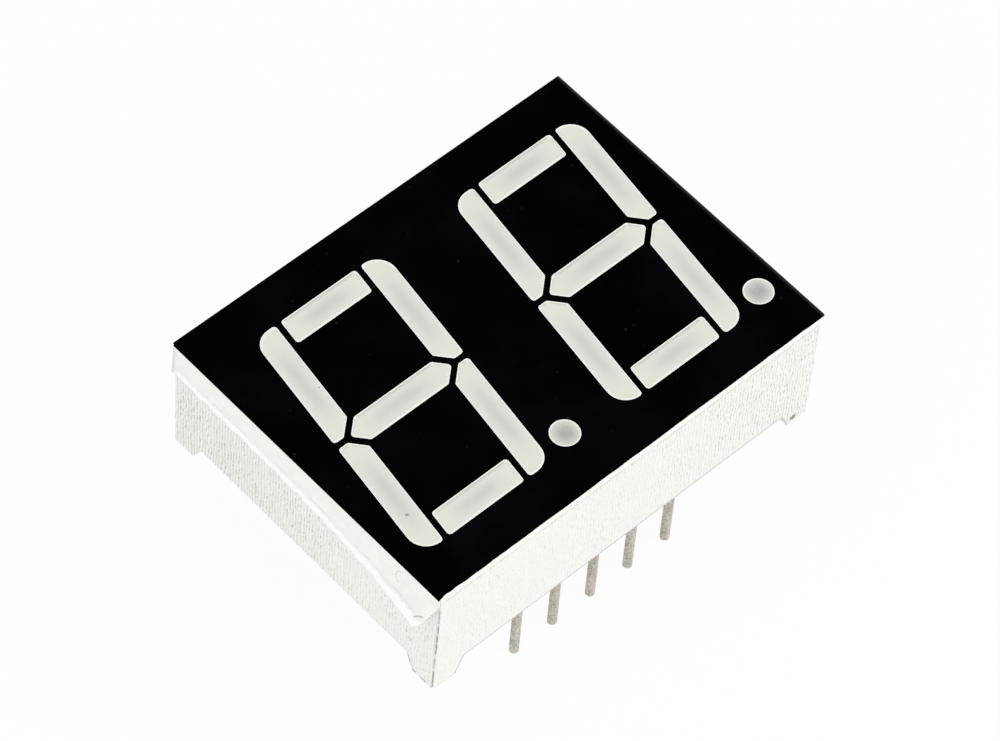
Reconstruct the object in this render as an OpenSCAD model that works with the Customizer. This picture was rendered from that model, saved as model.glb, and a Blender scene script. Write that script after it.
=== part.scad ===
// Two-digit seven segment display, 14.2 mm digits, for soldering into a board.
// Z = 0 is the plane that the corner feet stand on. The black face looks along +Z,
// the digits read with their tops towards +Y, and the pins point along -Z.

/* [Housing] */
// Distance from a decimal point to the housing's nearest side
point_edge = 0.62; // [0.4:0.01:2]
// Distance from the middle of a pin to the inside of the wall beside it
pin_to_wall = 0.93; // [0.85:0.01:2]
// Height of the display from its feet to the front of its face
body_h = 8; // [7.4:0.1:11]
// Thickness of the four side walls
wall = 0.9; // [0.7:0.05:1.1]
// Size of the small flats on the housing's upright corners
corner_flat = 0.12; // [0.05:0.01:0.3]
// Height of the corner feet below the rim of the walls
foot_h = 1.1; // [0.6:0.1:1.5]
// Length of each foot along its wall
foot_l = 1.45; // [1:0.05:2.4]
// Length of the ramp from a foot up to the rim
foot_ramp = 0.5; // [0.2:0.05:1]
// Height of the smooth band that runs round the housing under the film
band_h = 0.35; // [0.2:0.05:0.6]
// Height of the fine groove under that band
groove_h = 0.06; // [0.04:0.01:0.1]
// Depth of the fine groove under that band
groove_in = 0.05; // [0.03:0.01:0.08]
// Diameter of the pegs that locate the board
peg_d = 1.2; // [0.9:0.1:1.5]
// Distance between the two pegs
peg_pitch = 10; // [8:0.1:11]
// Diameter of the shoulder that the board is pressed against
shoulder_d = 2.2; // [1.9:0.1:2.6]
// How far the pegs stand out behind the board
peg_out = 0.25; // [0.1:0.05:0.4]
// Clearance between a peg and its hole in the board
peg_clear = 0.05; // [0.02:0.01:0.1]

/* [Face film] */
// Thickness of the printed film on the face
film_t = 0.1; // [0.06:0.01:0.2]
// How far the film passes the housing in front and behind
film_over = 0.05; // [0.02:0.01:0.1]
// Length of the white tail that is folded down over the left wall
tail_l = 2.2; // [1.6:0.1:2.8]
// How far below the face the tail stays on the wall all along
tail_flat = 0.65; // [0.3:0.05:1]
// Angle that the tail has sprung open at its front end
tail_open = 47; // [20:1:60]
// How quickly the tail opens towards its front end
tail_curve = 4.2; // [2:0.1:5]
// How far the tail's free corner is cut back at the front
tail_cut = 0.45; // [0:0.05:0.8]

/* [Digits] */
// Distance between the centres of the two digits
digit_pitch = 12.7; // [12.5:0.05:13.2]
// Height of a digit
digit_h = 14.16; // [12.7:0.02:14.8]
// Width of a digit across its upright segments, before the slant
digit_w = 8.11; // [7.4:0.01:8.3]
// Width of the upright segments
upright_w = 1.29; // [1.1:0.01:1.5]
// Width of the level segments
level_w = 1.4; // [1.1:0.01:1.6]
// Gap between neighbouring segments
gap = 0.44; // [0.3:0.01:0.55]
// Size of the mitre at the waist of the upright segments
mitre = 0.76; // [0.6:0.01:0.85]
// Slant of the digits
slant = 8; // [4:0.5:10]
// Radius of the digit's two outer corners
corner_r = 1; // [0.6:0.05:1.15]
// Radius of the other corners of a segment
nick_r = 0.12; // [0.06:0.01:0.2]
// Diameter of the decimal point
point_d = 1.56; // [1.3:0.01:1.7]
// How far the decimal point's middle stands outside the digit's upright segments
point_out = 0.595; // [0.5:0.005:0.9]
// How far the decimal point hangs below the digit
point_low = 0.08; // [0:0.01:0.2]

/* [Light wells and resin] */
// Length of the floor of a light well, as part of its window's length
well_long = 0.5; // [0.45:0.01:0.7]
// Width of the floor of a light well, as part of its window's width
well_wide = 0.86; // [0.8:0.01:0.95]
// Depth of the resin below the front of the film
resin_low = 0.02; // [0.01:0.01:0.05]
// Height from the rim of the walls up to the back of the resin
resin_rise = 0.05; // [0:0.01:0.08]

/* [Circuit board] */
// Thickness of the circuit board
board_t = 1; // [0.8:0.1:1.2]
// Height from the rim of the walls up to the underside of the board
board_rise = 0.95; // [0.7:0.05:1.5]
// Clearance between the board and the walls round it
board_clear = 0.15; // [0.1:0.05:0.25]
// Height of the shoulders that hold the board off the block
board_off = 0.15; // [0.12:0.01:0.2]
// Thickness of the copper
copper_t = 0.05; // [0.035:0.005:0.07]
// Width of a copper track
track_w = 0.3; // [0.2:0.05:0.4]
// Width of the copper pad under a light-emitting chip
pad_w = 0.8; // [0.6:0.05:0.9]
// Width of the land that a bond wire ends on
land_w = 0.4; // [0.3:0.05:0.5]
// Distance from a chip to the land of its bond wire
land_x = 1.1; // [0.9:0.05:1.15]
// Distance from a decimal point's chip to the land of its bond wire
point_land_x = 0.5; // [0.45:0.05:0.55]
// How far the rails inside a digit stand in from its segments
rail_in = 0.55; // [0.4:0.05:0.7]

/* [Chips and wires] */
// Width of a light-emitting chip
chip_w = 0.3; // [0.2:0.01:0.4]
// Height of a light-emitting chip
chip_h = 0.2; // [0.15:0.01:0.25]
// Diameter of a bond wire
wire_d = 0.05; // [0.04:0.005:0.06]
// Height of the bond wire's loop above its chip
wire_rise = 0.25; // [0.15:0.01:0.35]

/* [Pins] */
// Number of pins in each of the two rows
pins_per_row = 5; // [4:1:5]
// Distance between neighbouring pins in a row
pin_pitch = 2.54; // [2:0.01:2.6]
// How far each row of pins stands outside the height of the digits
row_out = 0.54; // [0.4:0.01:1.5]
// Diameter of a pin
pin_d = 0.5; // [0.4:0.01:0.6]
// Length of a pin below the feet
pin_l = 6.4; // [3:0.1:12]
// Height of the round end of a pin
pin_round = 0.12; // [0.05:0.01:0.15]
// Width of the flattened head of a pin, which keys it in the resin
head_w = 0.64; // [0.6:0.01:0.7]
// Thickness of the flattened head of a pin
head_t = 0.3; // [0.26:0.01:0.34]
// Diameter of the holes in the board that the pins are soldered into
pin_hole_d = 0.9; // [0.85:0.01:1]
// Diameter of the solder on the back of the board
solder_d = 1.4; // [1.2:0.05:1.5]
// Height of the solder on the back of the board
solder_h = 0.45; // [0.3:0.05:0.5]
// Diameter of the solder at its thin end
solder_tip_d = 0.8; // [0.75:0.01:0.9]
// Width of the copper ring that shows round the solder
ring_w = 0.05; // [0.03:0.01:0.1]

/* [Hidden] */
SEGMENTS = ["a", "b", "c", "d", "e", "f", "g", "dp"];
DIGITS = [1, 2];
pin_count = 2 * pins_per_row;

outer_x = digit_w / 2;
inner_x = outer_x - upright_w;
outer_y = digit_h / 2;
waist_y = gap / 2;
point_x = outer_x + point_out;
point_y = point_d / 2 - outer_y - point_low;

row_pitch = digit_h + 2 * row_out;
pocket_d = row_pitch + 2 * pin_to_wall;
body_d = pocket_d + 2 * wall;
body_w = digit_pitch + 2 * (point_x + point_d / 2 + point_edge);
pocket_w = body_w - 2 * wall;

film_w = body_w + 2 * film_t;
film_d = body_d + 2 * film_over;
film_z = body_h - film_t;
board_low = foot_h + board_rise;
board_top = board_low + board_t;
block_z = board_top + board_off;
resin_back = foot_h + resin_rise;
resin_face = body_h - resin_low;
board_w = pocket_w - 2 * board_clear;
board_d = pocket_d - 2 * board_clear;
well_low = block_z - board_off / 2;
copper_low = board_low - copper_t;
copper_top = board_top + copper_t;
pin_head = board_top + board_off / 2;
peg_low = board_low - peg_out;
rail_x = inner_x - rail_in;
rail_y = outer_y - level_w - rail_in;

round_fn = 32;
point_fn = 48;
large_arc_steps = 8;
small_arc_steps = 2;
tail_steps = 24;
wire_steps = 8;
wire_sides = 6;
cut = 1;

// Small geometry helpers

function unit(v) = v / norm(v);
function middle(a, b) = (a + b) / 2;
function lean(p) = [p[0] + p[1] * tan(slant), p[1]];
function digit_x(n) = (n - 1.5) * digit_pitch;

// The points of an arc of radius r that rounds corner p between its neighbours a and b
function corner_arc(a, p, b, r, steps) =
    let (
        u = unit(a - p),
        w = unit(b - p),
        half = acos(u * w) / 2,
        centre = p + unit(u + w) * r / sin(half),
        start = p + u * r / tan(half) - centre,
        end = p + w * r / tan(half) - centre,
        from = atan2(start[1], start[0]),
        turn = (atan2(end[1], end[0]) - from + 540) % 360 - 180
    )
    [for (i = [0:steps]) centre + r * [cos(from + turn * i / steps), sin(from + turn * i / steps)]];

function rounded(points, radii) =
    let (n = len(points))
    [
        for (i = [0:n - 1])
            each corner_arc(points[(i + n - 1) % n], points[i], points[(i + 1) % n], radii[i],
                            radii[i] > nick_r ? large_arc_steps : small_arc_steps)
    ];

// The corners of each segment, upright and about the digit's centre, with their radii.
// The lower half of a digit is its upper half turned half round.

function turned(shape) = [[for (p = shape[0]) -p], shape[1]];

function segment_shape(s) =
    s == "a" ? [
        [[gap - inner_x, outer_y - level_w], [inner_x - gap, outer_y - level_w],
         [inner_x - gap, outer_y], [gap - inner_x, outer_y]],
        [nick_r, nick_r, nick_r, nick_r]
    ] :
    s == "b" ? [
        [[outer_x, waist_y], [outer_x, outer_y], [inner_x, outer_y],
         [inner_x, waist_y + mitre], [inner_x + mitre, waist_y]],
        [nick_r, corner_r, nick_r, nick_r, nick_r]
    ] :
    s == "f" ? [
        [[-outer_x, waist_y], [-inner_x - mitre, waist_y], [-inner_x, waist_y + mitre],
         [-inner_x, outer_y], [-outer_x, outer_y]],
        [nick_r, nick_r, nick_r, nick_r, corner_r]
    ] :
    s == "g" ? let (
        tip = inner_x + mitre + waist_y - gap * sqrt(2),
        shoulder = tip - level_w / 2
    ) [
        [[-tip, 0], [-shoulder, -level_w / 2], [shoulder, -level_w / 2],
         [tip, 0], [shoulder, level_w / 2], [-shoulder, level_w / 2]],
        [nick_r, nick_r, nick_r, nick_r, nick_r, nick_r]
    ] :
    turned(segment_shape(s == "c" ? "f" : s == "d" ? "a" : "b"));

function segment_outline(s) =
    let (shape = segment_shape(s))
    rounded([for (p = shape[0]) lean(p)], shape[1]);

// The middle of a segment, where its chip sits, and the way that its well runs

function segment_centre(s) =
    s == "dp" ? [point_x, point_y] :
    s == "g" ? [0, 0] :
    s == "a" ? lean([0, outer_y - level_w / 2]) :
    s == "d" ? -segment_centre("a") :
    s == "b" ? lean([middle(inner_x, outer_x), middle(waist_y, outer_y)]) :
    s == "f" ? lean([-middle(inner_x, outer_x), middle(waist_y, outer_y)]) :
    s == "c" ? -segment_centre("f") : -segment_centre("b");

function is_level(s) = s == "a" || s == "d" || s == "g" || s == "dp";
function along(s) = is_level(s) ? [1, 0] : unit(lean([0, 1]));
function land_reach(s) = s == "dp" ? point_land_x : land_x;

// A point of a window's outline drawn in towards the middle, for the floor of its well
function drawn_in(p, s) =
    let (
        c = segment_centre(s),
        u = along(s),
        w = [-u[1], u[0]],
        d = p - c
    )
    c + u * (d * u) * well_long + w * (d * w) * well_wide;

// The resin in one well: a straight foot, the tapered well and the straight window
module well_plug(s) {
    top = segment_outline(s);
    floor = [for (p = top) drawn_in(p, s)];
    n = len(top);
    rings = [
        [for (p = floor) [p[0], p[1], well_low]],
        [for (p = floor) [p[0], p[1], block_z]],
        [for (p = top) [p[0], p[1], film_z]],
        [for (p = top) [p[0], p[1], resin_face]]
    ];
    sides = [
        for (r = [0:2], i = [0:n - 1])
            let (j = (i + 1) % n)
            each [
                [r * n + i, (r + 1) * n + j, r * n + j],
                [r * n + i, (r + 1) * n + i, (r + 1) * n + j]
            ]
    ];
    polyhedron(
        points = [for (ring = rings) each ring],
        faces = concat(
            [[for (i = [0:n - 1]) i]],
            sides,
            [[for (i = [0:n - 1]) 3 * n + n - 1 - i]]
        ),
        convexity = 4
    );
}

module point_plug() {
    floor_r = point_d / 2 * well_wide;
    translate(concat(segment_centre("dp"), [0]))
        rotate_extrude($fn = point_fn)
            polygon([
                [0, well_low],
                [floor_r, well_low],
                [floor_r, block_z],
                [point_d / 2, film_z],
                [point_d / 2, resin_face],
                [0, resin_face]
            ]);
}

module digit_plugs() {
    for (n = DIGITS)
        translate([digit_x(n), 0, 0]) {
            for (s = SEGMENTS)
                if (s == "dp") point_plug();
                else well_plug(s);
        }
}

module digit_windows() {
    for (n = DIGITS)
        translate([digit_x(n), 0, film_z - cut])
            for (s = SEGMENTS)
                if (s == "dp")
                    translate(concat(segment_centre(s), [0]))
                        cylinder(h = film_t + 2 * cut, d = point_d, $fn = point_fn);
                else
                    linear_extrude(film_t + 2 * cut)
                        polygon(segment_outline(s));
}

// A rectangle with small flats across its corners
module flat_cornered(w, d, flat) {
    x = w / 2;
    y = d / 2;
    polygon([
        [x - flat, -y], [x, flat - y], [x, y - flat], [x - flat, y],
        [flat - x, y], [-x, y - flat], [-x, flat - y], [flat - x, -y]
    ]);
}

// Housing

module wall_block() {
    groove_z = film_z - band_h - groove_h;
    linear_extrude(groove_z)
        flat_cornered(body_w, body_d, corner_flat);
    translate([0, 0, groove_z])
        linear_extrude(groove_h)
            flat_cornered(body_w - 2 * groove_in, body_d - 2 * groove_in, corner_flat);
    translate([0, 0, groove_z + groove_h])
        linear_extrude(band_h)
            flat_cornered(body_w, body_d, corner_flat);
}

// The opening between two feet, cut through both walls of a pair
module foot_gap(length, depth) {
    half = length / 2 - foot_l;
    rotate([90, 0, 0])
        linear_extrude(depth + 2 * cut, center = true)
            polygon([
                [-half - cut, -cut], [half + cut, -cut], [half, 0],
                [half - foot_ramp, foot_h], [foot_ramp - half, foot_h], [-half, 0]
            ]);
}

module board_pegs(d, low, high) {
    for (y = [-1, 1])
        translate([0, y * peg_pitch / 2, low])
            cylinder(h = high - low, d = d, $fn = round_fn);
}

module housing() {
    color("#f4f4f0")
    difference() {
        union() {
            difference() {
                wall_block();
                translate([-pocket_w / 2, -pocket_d / 2, -cut])
                    cube([pocket_w, pocket_d, block_z + cut]);
                foot_gap(body_w, body_d);
                rotate([0, 0, 90])
                    foot_gap(body_d, body_w);
            }
            board_pegs(peg_d, peg_low, block_z + cut);
            board_pegs(shoulder_d, board_top, block_z + cut);
        }
        digit_plugs();
    }
}

// Face film: black print over the face, with an unprinted tail over the left wall

// The angle that the tail stands off the wall, from its back end (0) to its front end (1)
function tail_angle(t) = tail_open * pow(t, tail_curve);

// The tail's section: down the wall from the fold, then out at its angle to the free edge
function tail_ring(t) =
    let (
        a = tail_angle(t),
        x = -film_w / 2,
        y = film_d / 2 - t * film_d,
        free_y = film_d / 2 - t * (film_d - tail_cut),
        bend = body_h - tail_flat,
        out = tail_l - tail_flat,
        free = [x - out * sin(a), free_y, bend - out * cos(a)]
    )
    [
        [x, y, body_h],
        [x, y, bend],
        free,
        free + film_t * [cos(a), 0, -sin(a)],
        [x + film_t, y, bend - film_t * tan(a / 2)],
        [x + film_t, y, body_h]
    ];

module film_tail() {
    rings = [for (i = [0:tail_steps]) tail_ring(i / tail_steps)];
    m = len(rings[0]);
    end = [[0, 1, 4], [0, 4, 5], [1, 2, 3], [1, 3, 4]];
    sides = [
        for (r = [0:tail_steps - 1], i = [0:m - 1])
            let (j = (i + 1) % m)
            each [
                [r * m + i, (r + 1) * m + j, r * m + j],
                [r * m + i, (r + 1) * m + i, (r + 1) * m + j]
            ]
    ];
    polyhedron(
        points = [for (ring = rings) each ring],
        faces = concat(
            end,
            sides,
            [for (f = end) [for (i = [2:-1:0]) tail_steps * m + f[i]]]
        ),
        convexity = 6
    );
}

module face_film() {
    color("#101013")
    difference() {
        translate([-film_w / 2, -film_d / 2, film_z])
            cube([film_w, film_d, film_t]);
        digit_windows();
    }
    color("#f8f8f2")
        film_tail();
}

// Pins, in the usual order: 1 to 5 along the front, then 6 to 10 back along the rear

function pin_place(i) =
    let (
        front = i <= pins_per_row,
        k = front ? i - 1 : pin_count - i
    )
    [(k - (pins_per_row - 1) / 2) * pin_pitch, (front ? -1 : 1) * row_pitch / 2, 0];

// Round wire below the back of the resin, and a flattened head with clipped edges above it
module pin_body(i) {
    edge = head_t / 4;
    translate(pin_place(i)) {
        rotate_extrude($fn = round_fn)
            polygon([
                [0, -pin_l], [pin_d / 2 - pin_round, -pin_l], [pin_d / 2, pin_round - pin_l],
                [pin_d / 2, resin_back], [0, resin_back]
            ]);
        translate([0, 0, resin_back])
            linear_extrude(pin_head - resin_back)
                flat_cornered(head_w, head_t, edge);
    }
}

module pin(i) {
    color("#b9b4aa")
        pin_body(i);
}

module pin_hole(i, d, low, high) {
    translate(pin_place(i) + [0, 0, low])
        cylinder(h = high - low, d = d, $fn = round_fn);
}

module solder(i) {
    color("#c8cacd")
    difference() {
        translate(pin_place(i))
            rotate_extrude($fn = round_fn)
                polygon([
                    [0, copper_low - solder_h],
                    [solder_tip_d / 2, copper_low - solder_h],
                    [solder_d / 2, copper_low],
                    [pin_hole_d / 2, copper_low],
                    [pin_hole_d / 2, board_top],
                    [0, board_top]
                ]);
        pin_body(i);
    }
}

// Circuit board and its copper

module circuit_board() {
    color("#3f6b3a")
    difference() {
        translate([-board_w / 2, -board_d / 2, board_low])
            cube([board_w, board_d, board_t]);
        for (i = [1:pin_count])
            pin_hole(i, pin_hole_d, board_low - cut, board_top + cut);
        board_pegs(peg_d + 2 * peg_clear, board_low - cut, board_top + cut);
    }
}

module track(a, b) {
    d = b - a;
    translate(middle(a, b))
        rotate(atan2(d[1], d[0]))
            square([norm(d) + track_w, track_w], center = true);
}

// Where the stub from a chip's pad meets the rails inside the digit
function rail_point(s) =
    let (c = segment_centre(s))
    s == "a" ? lean([0, rail_y]) :
    s == "d" ? lean([0, -rail_y]) :
    s == "g" ? lean([-rail_x, 0]) :
    s == "dp" ? segment_centre("c") :
    lean([(c[0] > 0 ? 1 : -1) * rail_x, c[1]]);

module digit_copper() {
    corners = [for (p = [[1, 1], [-1, 1], [-1, -1], [1, -1]]) lean([p[0] * rail_x, p[1] * rail_y])];
    for (i = [0:3])
        track(corners[i], corners[(i + 1) % 4]);
    for (s = SEGMENTS) {
        u = along(s);
        turn = atan2(u[1], u[0]);
        track(segment_centre(s), rail_point(s));
        translate(segment_centre(s))
            rotate(turn)
                square([s == "dp" ? land_w : pad_w, pad_w], center = true);
        translate(segment_centre(s) + u * land_reach(s))
            rotate(turn)
                square(s == "dp" ? land_w / 2 : land_w, center = true);
    }
}

module board_copper() {
    translate([0, 0, board_top])
        linear_extrude(copper_t)
            for (n = DIGITS)
                translate([digit_x(n), 0])
                    digit_copper();
}

module copper_tracks() {
    color("#b87333") {
        board_copper();
        for (i = [1:pin_count])
            difference() {
                pin_hole(i, solder_d + 2 * ring_w, copper_low, board_low);
                pin_hole(i, pin_hole_d, board_low - cut, board_low + cut);
            }
    }
}

// Light-emitting chips and their bond wires

function chip_place(n, s) = concat([digit_x(n), 0] + segment_centre(s), [copper_top]);

module chip(n, s) {
    u = along(s);
    color("#c7a14a")
    translate(chip_place(n, s))
        rotate(atan2(u[1], u[0]))
            translate([-chip_w / 2, -chip_w / 2, 0])
                cube([chip_w, chip_w, chip_h]);
}

// The loop of a bond wire, from the top of its chip down to its land
function wire_point(t, reach) =
    [t * reach, 0, chip_h * (1 - t) + wire_rise * 4 * t * (1 - t)];

module bond_wire(n, s) {
    u = along(s);
    reach = land_reach(s);
    rings = [
        for (i = [0:wire_steps])
            let (
                t = i / wire_steps,
                p = wire_point(t, reach),
                d = wire_point(t + 0.01, reach) - wire_point(t - 0.01, reach),
                up = i == 0 || i == wire_steps ? [1, 0, 0] : unit([-d[2], 0, d[0]])
            )
            [
                for (k = [0:wire_sides - 1])
                    let (a = 360 * k / wire_sides)
                    p + wire_d / 2 * (up * cos(a) * (i == 0 ? -1 : 1) + [0, sin(a), 0])
            ]
    ];
    m = wire_sides;
    color("#d9b45a")
    translate(chip_place(n, s))
        rotate(atan2(u[1], u[0]))
            polyhedron(
                points = [for (ring = rings) each ring],
                faces = concat(
                    [[for (k = [0:m - 1]) k]],
                    [
                        for (r = [0:wire_steps - 1], k = [0:m - 1])
                            let (j = (k + 1) % m)
                            each [
                                [r * m + k, (r + 1) * m + j, r * m + j],
                                [r * m + k, (r + 1) * m + k, (r + 1) * m + j]
                            ]
                    ],
                    [[for (k = [0:m - 1]) wire_steps * m + m - 1 - k]]
                ),
                convexity = 4
            );
}

// Resin: one casting that fills the wells and windows and covers the board's back

module resin_fill() {
    color("#e9eae6")
    difference() {
        union() {
            translate([-pocket_w / 2, -pocket_d / 2, resin_back])
                cube([pocket_w, pocket_d, block_z - resin_back]);
            digit_plugs();
        }
        translate([-board_w / 2, -board_d / 2, board_low])
            cube([board_w, board_d, board_t]);
        board_pegs(peg_d, peg_low, board_low + cut / 2);
        board_pegs(shoulder_d, board_top, block_z + cut);
        board_copper();
        for (i = [1:pin_count]) {
            pin_hole(i, solder_d + 2 * ring_w, copper_low, board_low + cut / 2);
            pin_body(i);
            solder(i);
        }
        for (n = DIGITS, s = SEGMENTS) {
            chip(n, s);
            bond_wire(n, s);
        }
    }
}

housing();
face_film();
resin_fill();
circuit_board();
copper_tracks();
for (i = [1:pin_count]) {
    pin(i);
    solder(i);
}
for (n = DIGITS, s = SEGMENTS) {
    chip(n, s);
    bond_wire(n, s);
}
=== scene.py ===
"""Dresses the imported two-digit display: film, windows, resin, housing, pins, light and camera."""
import logging
import math
from dataclasses import dataclass, field
from enum import Enum

import bmesh
import bpy
import numpy as np
from mathutils import Matrix, Vector, noise
from mathutils.geometry import delaunay_2d_cdt


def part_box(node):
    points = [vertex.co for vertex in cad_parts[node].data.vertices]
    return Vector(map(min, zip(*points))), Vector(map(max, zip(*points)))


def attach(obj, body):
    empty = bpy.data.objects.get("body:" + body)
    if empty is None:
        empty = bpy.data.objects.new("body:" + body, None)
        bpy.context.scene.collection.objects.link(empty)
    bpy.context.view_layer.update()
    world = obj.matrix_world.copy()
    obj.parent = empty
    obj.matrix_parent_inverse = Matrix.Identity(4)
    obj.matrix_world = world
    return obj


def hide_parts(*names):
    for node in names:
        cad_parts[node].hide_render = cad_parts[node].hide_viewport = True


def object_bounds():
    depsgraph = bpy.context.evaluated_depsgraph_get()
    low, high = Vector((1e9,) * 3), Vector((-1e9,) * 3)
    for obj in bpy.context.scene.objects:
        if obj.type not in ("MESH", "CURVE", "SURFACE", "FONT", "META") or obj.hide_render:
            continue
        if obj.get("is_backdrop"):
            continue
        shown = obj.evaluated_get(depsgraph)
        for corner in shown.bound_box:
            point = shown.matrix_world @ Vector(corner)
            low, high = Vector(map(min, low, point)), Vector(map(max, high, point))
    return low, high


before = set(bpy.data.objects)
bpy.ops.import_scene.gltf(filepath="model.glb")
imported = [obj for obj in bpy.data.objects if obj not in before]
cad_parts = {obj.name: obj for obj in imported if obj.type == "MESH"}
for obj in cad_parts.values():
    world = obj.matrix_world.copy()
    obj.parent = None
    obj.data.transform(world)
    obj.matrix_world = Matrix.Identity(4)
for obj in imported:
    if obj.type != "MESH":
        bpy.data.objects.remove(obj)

LOG = logging.getLogger("display")
MM = 0.001
ROOT = "root"
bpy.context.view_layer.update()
WELD = 1e-6
TINY = 1e-30
SAME_POINT = 0.004 * MM
Socket = bpy.types.NodeSocket
Pair = tuple[float, float]
Point2 = tuple[float, float]
Point3 = tuple[float, float, float]
Colour = tuple[float, float, float]


class Layer(Enum):
    """The two layers of the film that show: the black print and the bare white film."""

    PRINT = 0
    BARE = 1


class Run(Enum):
    """Which way a window runs."""

    LEVEL = "level"
    UPRIGHT = "upright"
    POINT = "point"


class Effect(Enum):
    """The shader groups that more than one finish uses."""

    TOOL_MARKS = "tool_marks"
    SPECKS = "specks"
    MOTTLE = "mottle"
    GRAIN = "grain"


# Shader trees


@dataclass
class Tree:
    """A node tree that is being filled, with short ways to add and join its nodes."""

    nodes: bpy.types.Nodes
    links: bpy.types.NodeLinks

    def add(self, kind: str, values: dict | None = None, **settings: object) -> bpy.types.Node:
        """Adds one node.

        Args:
            kind: The node's type.
            values: What its inputs are set to, by name or number.
            settings: What its own properties are set to.

        Returns:
            The new node.
        """
        made = self.nodes.new(kind)
        for name, value in settings.items():
            setattr(made, name, value)
        for key, value in (values or {}).items():
            made.inputs[key].default_value = value
        return made

    def join(self, source: Socket, target: Socket) -> None:
        """Links an output to an input."""
        self.links.new(source, target)

    def maths(self, operation: str, first: object, second: object = 0.0) -> Socket:
        """Adds a Math node.

        Args:
            operation: What it works out.
            first: A socket or a number.
            second: A socket or a number.

        Returns:
            Its output.
        """
        made = self.add("ShaderNodeMath", operation=operation)
        self._feed(made.inputs[0], first)
        self._feed(made.inputs[1], second)
        return made.outputs[0]

    def times(self, first: object, *others: object) -> Socket:
        """Multiplies values with each other.

        Args:
            first: A socket or a number.
            others: More sockets or numbers.

        Returns:
            Their product.
        """
        product = first
        for other in others:
            product = self.maths("MULTIPLY", product, other)
        return product

    def span(self, value: Socket, low: object, high: object,
             start: float = 0.0, end: float = 1.0) -> Socket:
        """Maps a value from low..high to start..end, clamped and smooth.

        Args:
            value: The socket to map.
            low: The value that gives start, as a socket or a number.
            high: The value that gives end, as a socket or a number.
            start: The result at low.
            end: The result at high.

        Returns:
            The mapped value.
        """
        made = self.add("ShaderNodeMapRange", {"To Min": start, "To Max": end},
                        interpolation_type="SMOOTHSTEP")
        self.join(value, made.inputs["Value"])
        self._feed(made.inputs["From Min"], low)
        self._feed(made.inputs["From Max"], high)
        return made.outputs[0]

    def cloud(self, vector: Socket, scale: object, detail: float, roughness: float) -> Socket:
        """Adds a noise texture.

        Args:
            vector: Its coordinates.
            scale: Its scale, as a socket or a number.
            detail: How many finer layers it has.
            roughness: How strong the finer layers are.

        Returns:
            Its value, from 0 to 1.
        """
        made = self.add("ShaderNodeTexNoise", {"Detail": detail, "Roughness": roughness})
        self.join(vector, made.inputs["Vector"])
        self._feed(made.inputs["Scale"], scale)
        return made.outputs[0]

    def split(self, vector: Socket) -> tuple[Socket, Socket, Socket]:
        """Takes a vector apart.

        Args:
            vector: The vector.

        Returns:
            Its three numbers.
        """
        made = self.add("ShaderNodeSeparateXYZ")
        self.join(vector, made.inputs[0])
        return made.outputs[0], made.outputs[1], made.outputs[2]

    def stretched(self, vector: Socket, factors: Point3) -> Socket:
        """Multiplies a vector's three numbers by three factors.

        Args:
            vector: The vector.
            factors: The factors for x, y and z.

        Returns:
            The new vector.
        """
        made = self.add("ShaderNodeVectorMath", {1: factors}, operation="MULTIPLY")
        self.join(vector, made.inputs[0])
        return made.outputs[0]

    def away(self, vector: Socket, place: Point3) -> Socket:
        """How far a place is.

        Args:
            vector: The coordinates to measure from.
            place: The place, in the same units.

        Returns:
            The distance.
        """
        made = self.add("ShaderNodeVectorMath", {1: place}, operation="DISTANCE")
        self.join(vector, made.inputs[0])
        return made.outputs["Value"]

    def blend(self, factor: object, first: object, second: object) -> Socket:
        """Mixes two colours.

        Args:
            factor: A socket or a number.
            first: A socket or a colour, shown at 0.
            second: A socket or a colour, shown at 1.

        Returns:
            The mixed colour.
        """
        made = self.add("ShaderNodeMix", data_type="RGBA")
        factor_input, first_input, second_input, colour_output = 0, 6, 7, 2
        self._feed(made.inputs[factor_input], factor)
        self._feed(made.inputs[first_input], first)
        self._feed(made.inputs[second_input], second)
        return made.outputs[colour_output]

    def _feed(self, socket: Socket, value: object) -> None:
        """Links a socket to another, or sets it to a number or a colour.

        Args:
            socket: The input to feed.
            value: Another socket, a number or a colour.
        """
        if isinstance(value, Socket):
            self.join(value, socket)
        elif isinstance(value, tuple):
            socket.default_value = (*value, 1.0)
        else:
            socket.default_value = value


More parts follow.
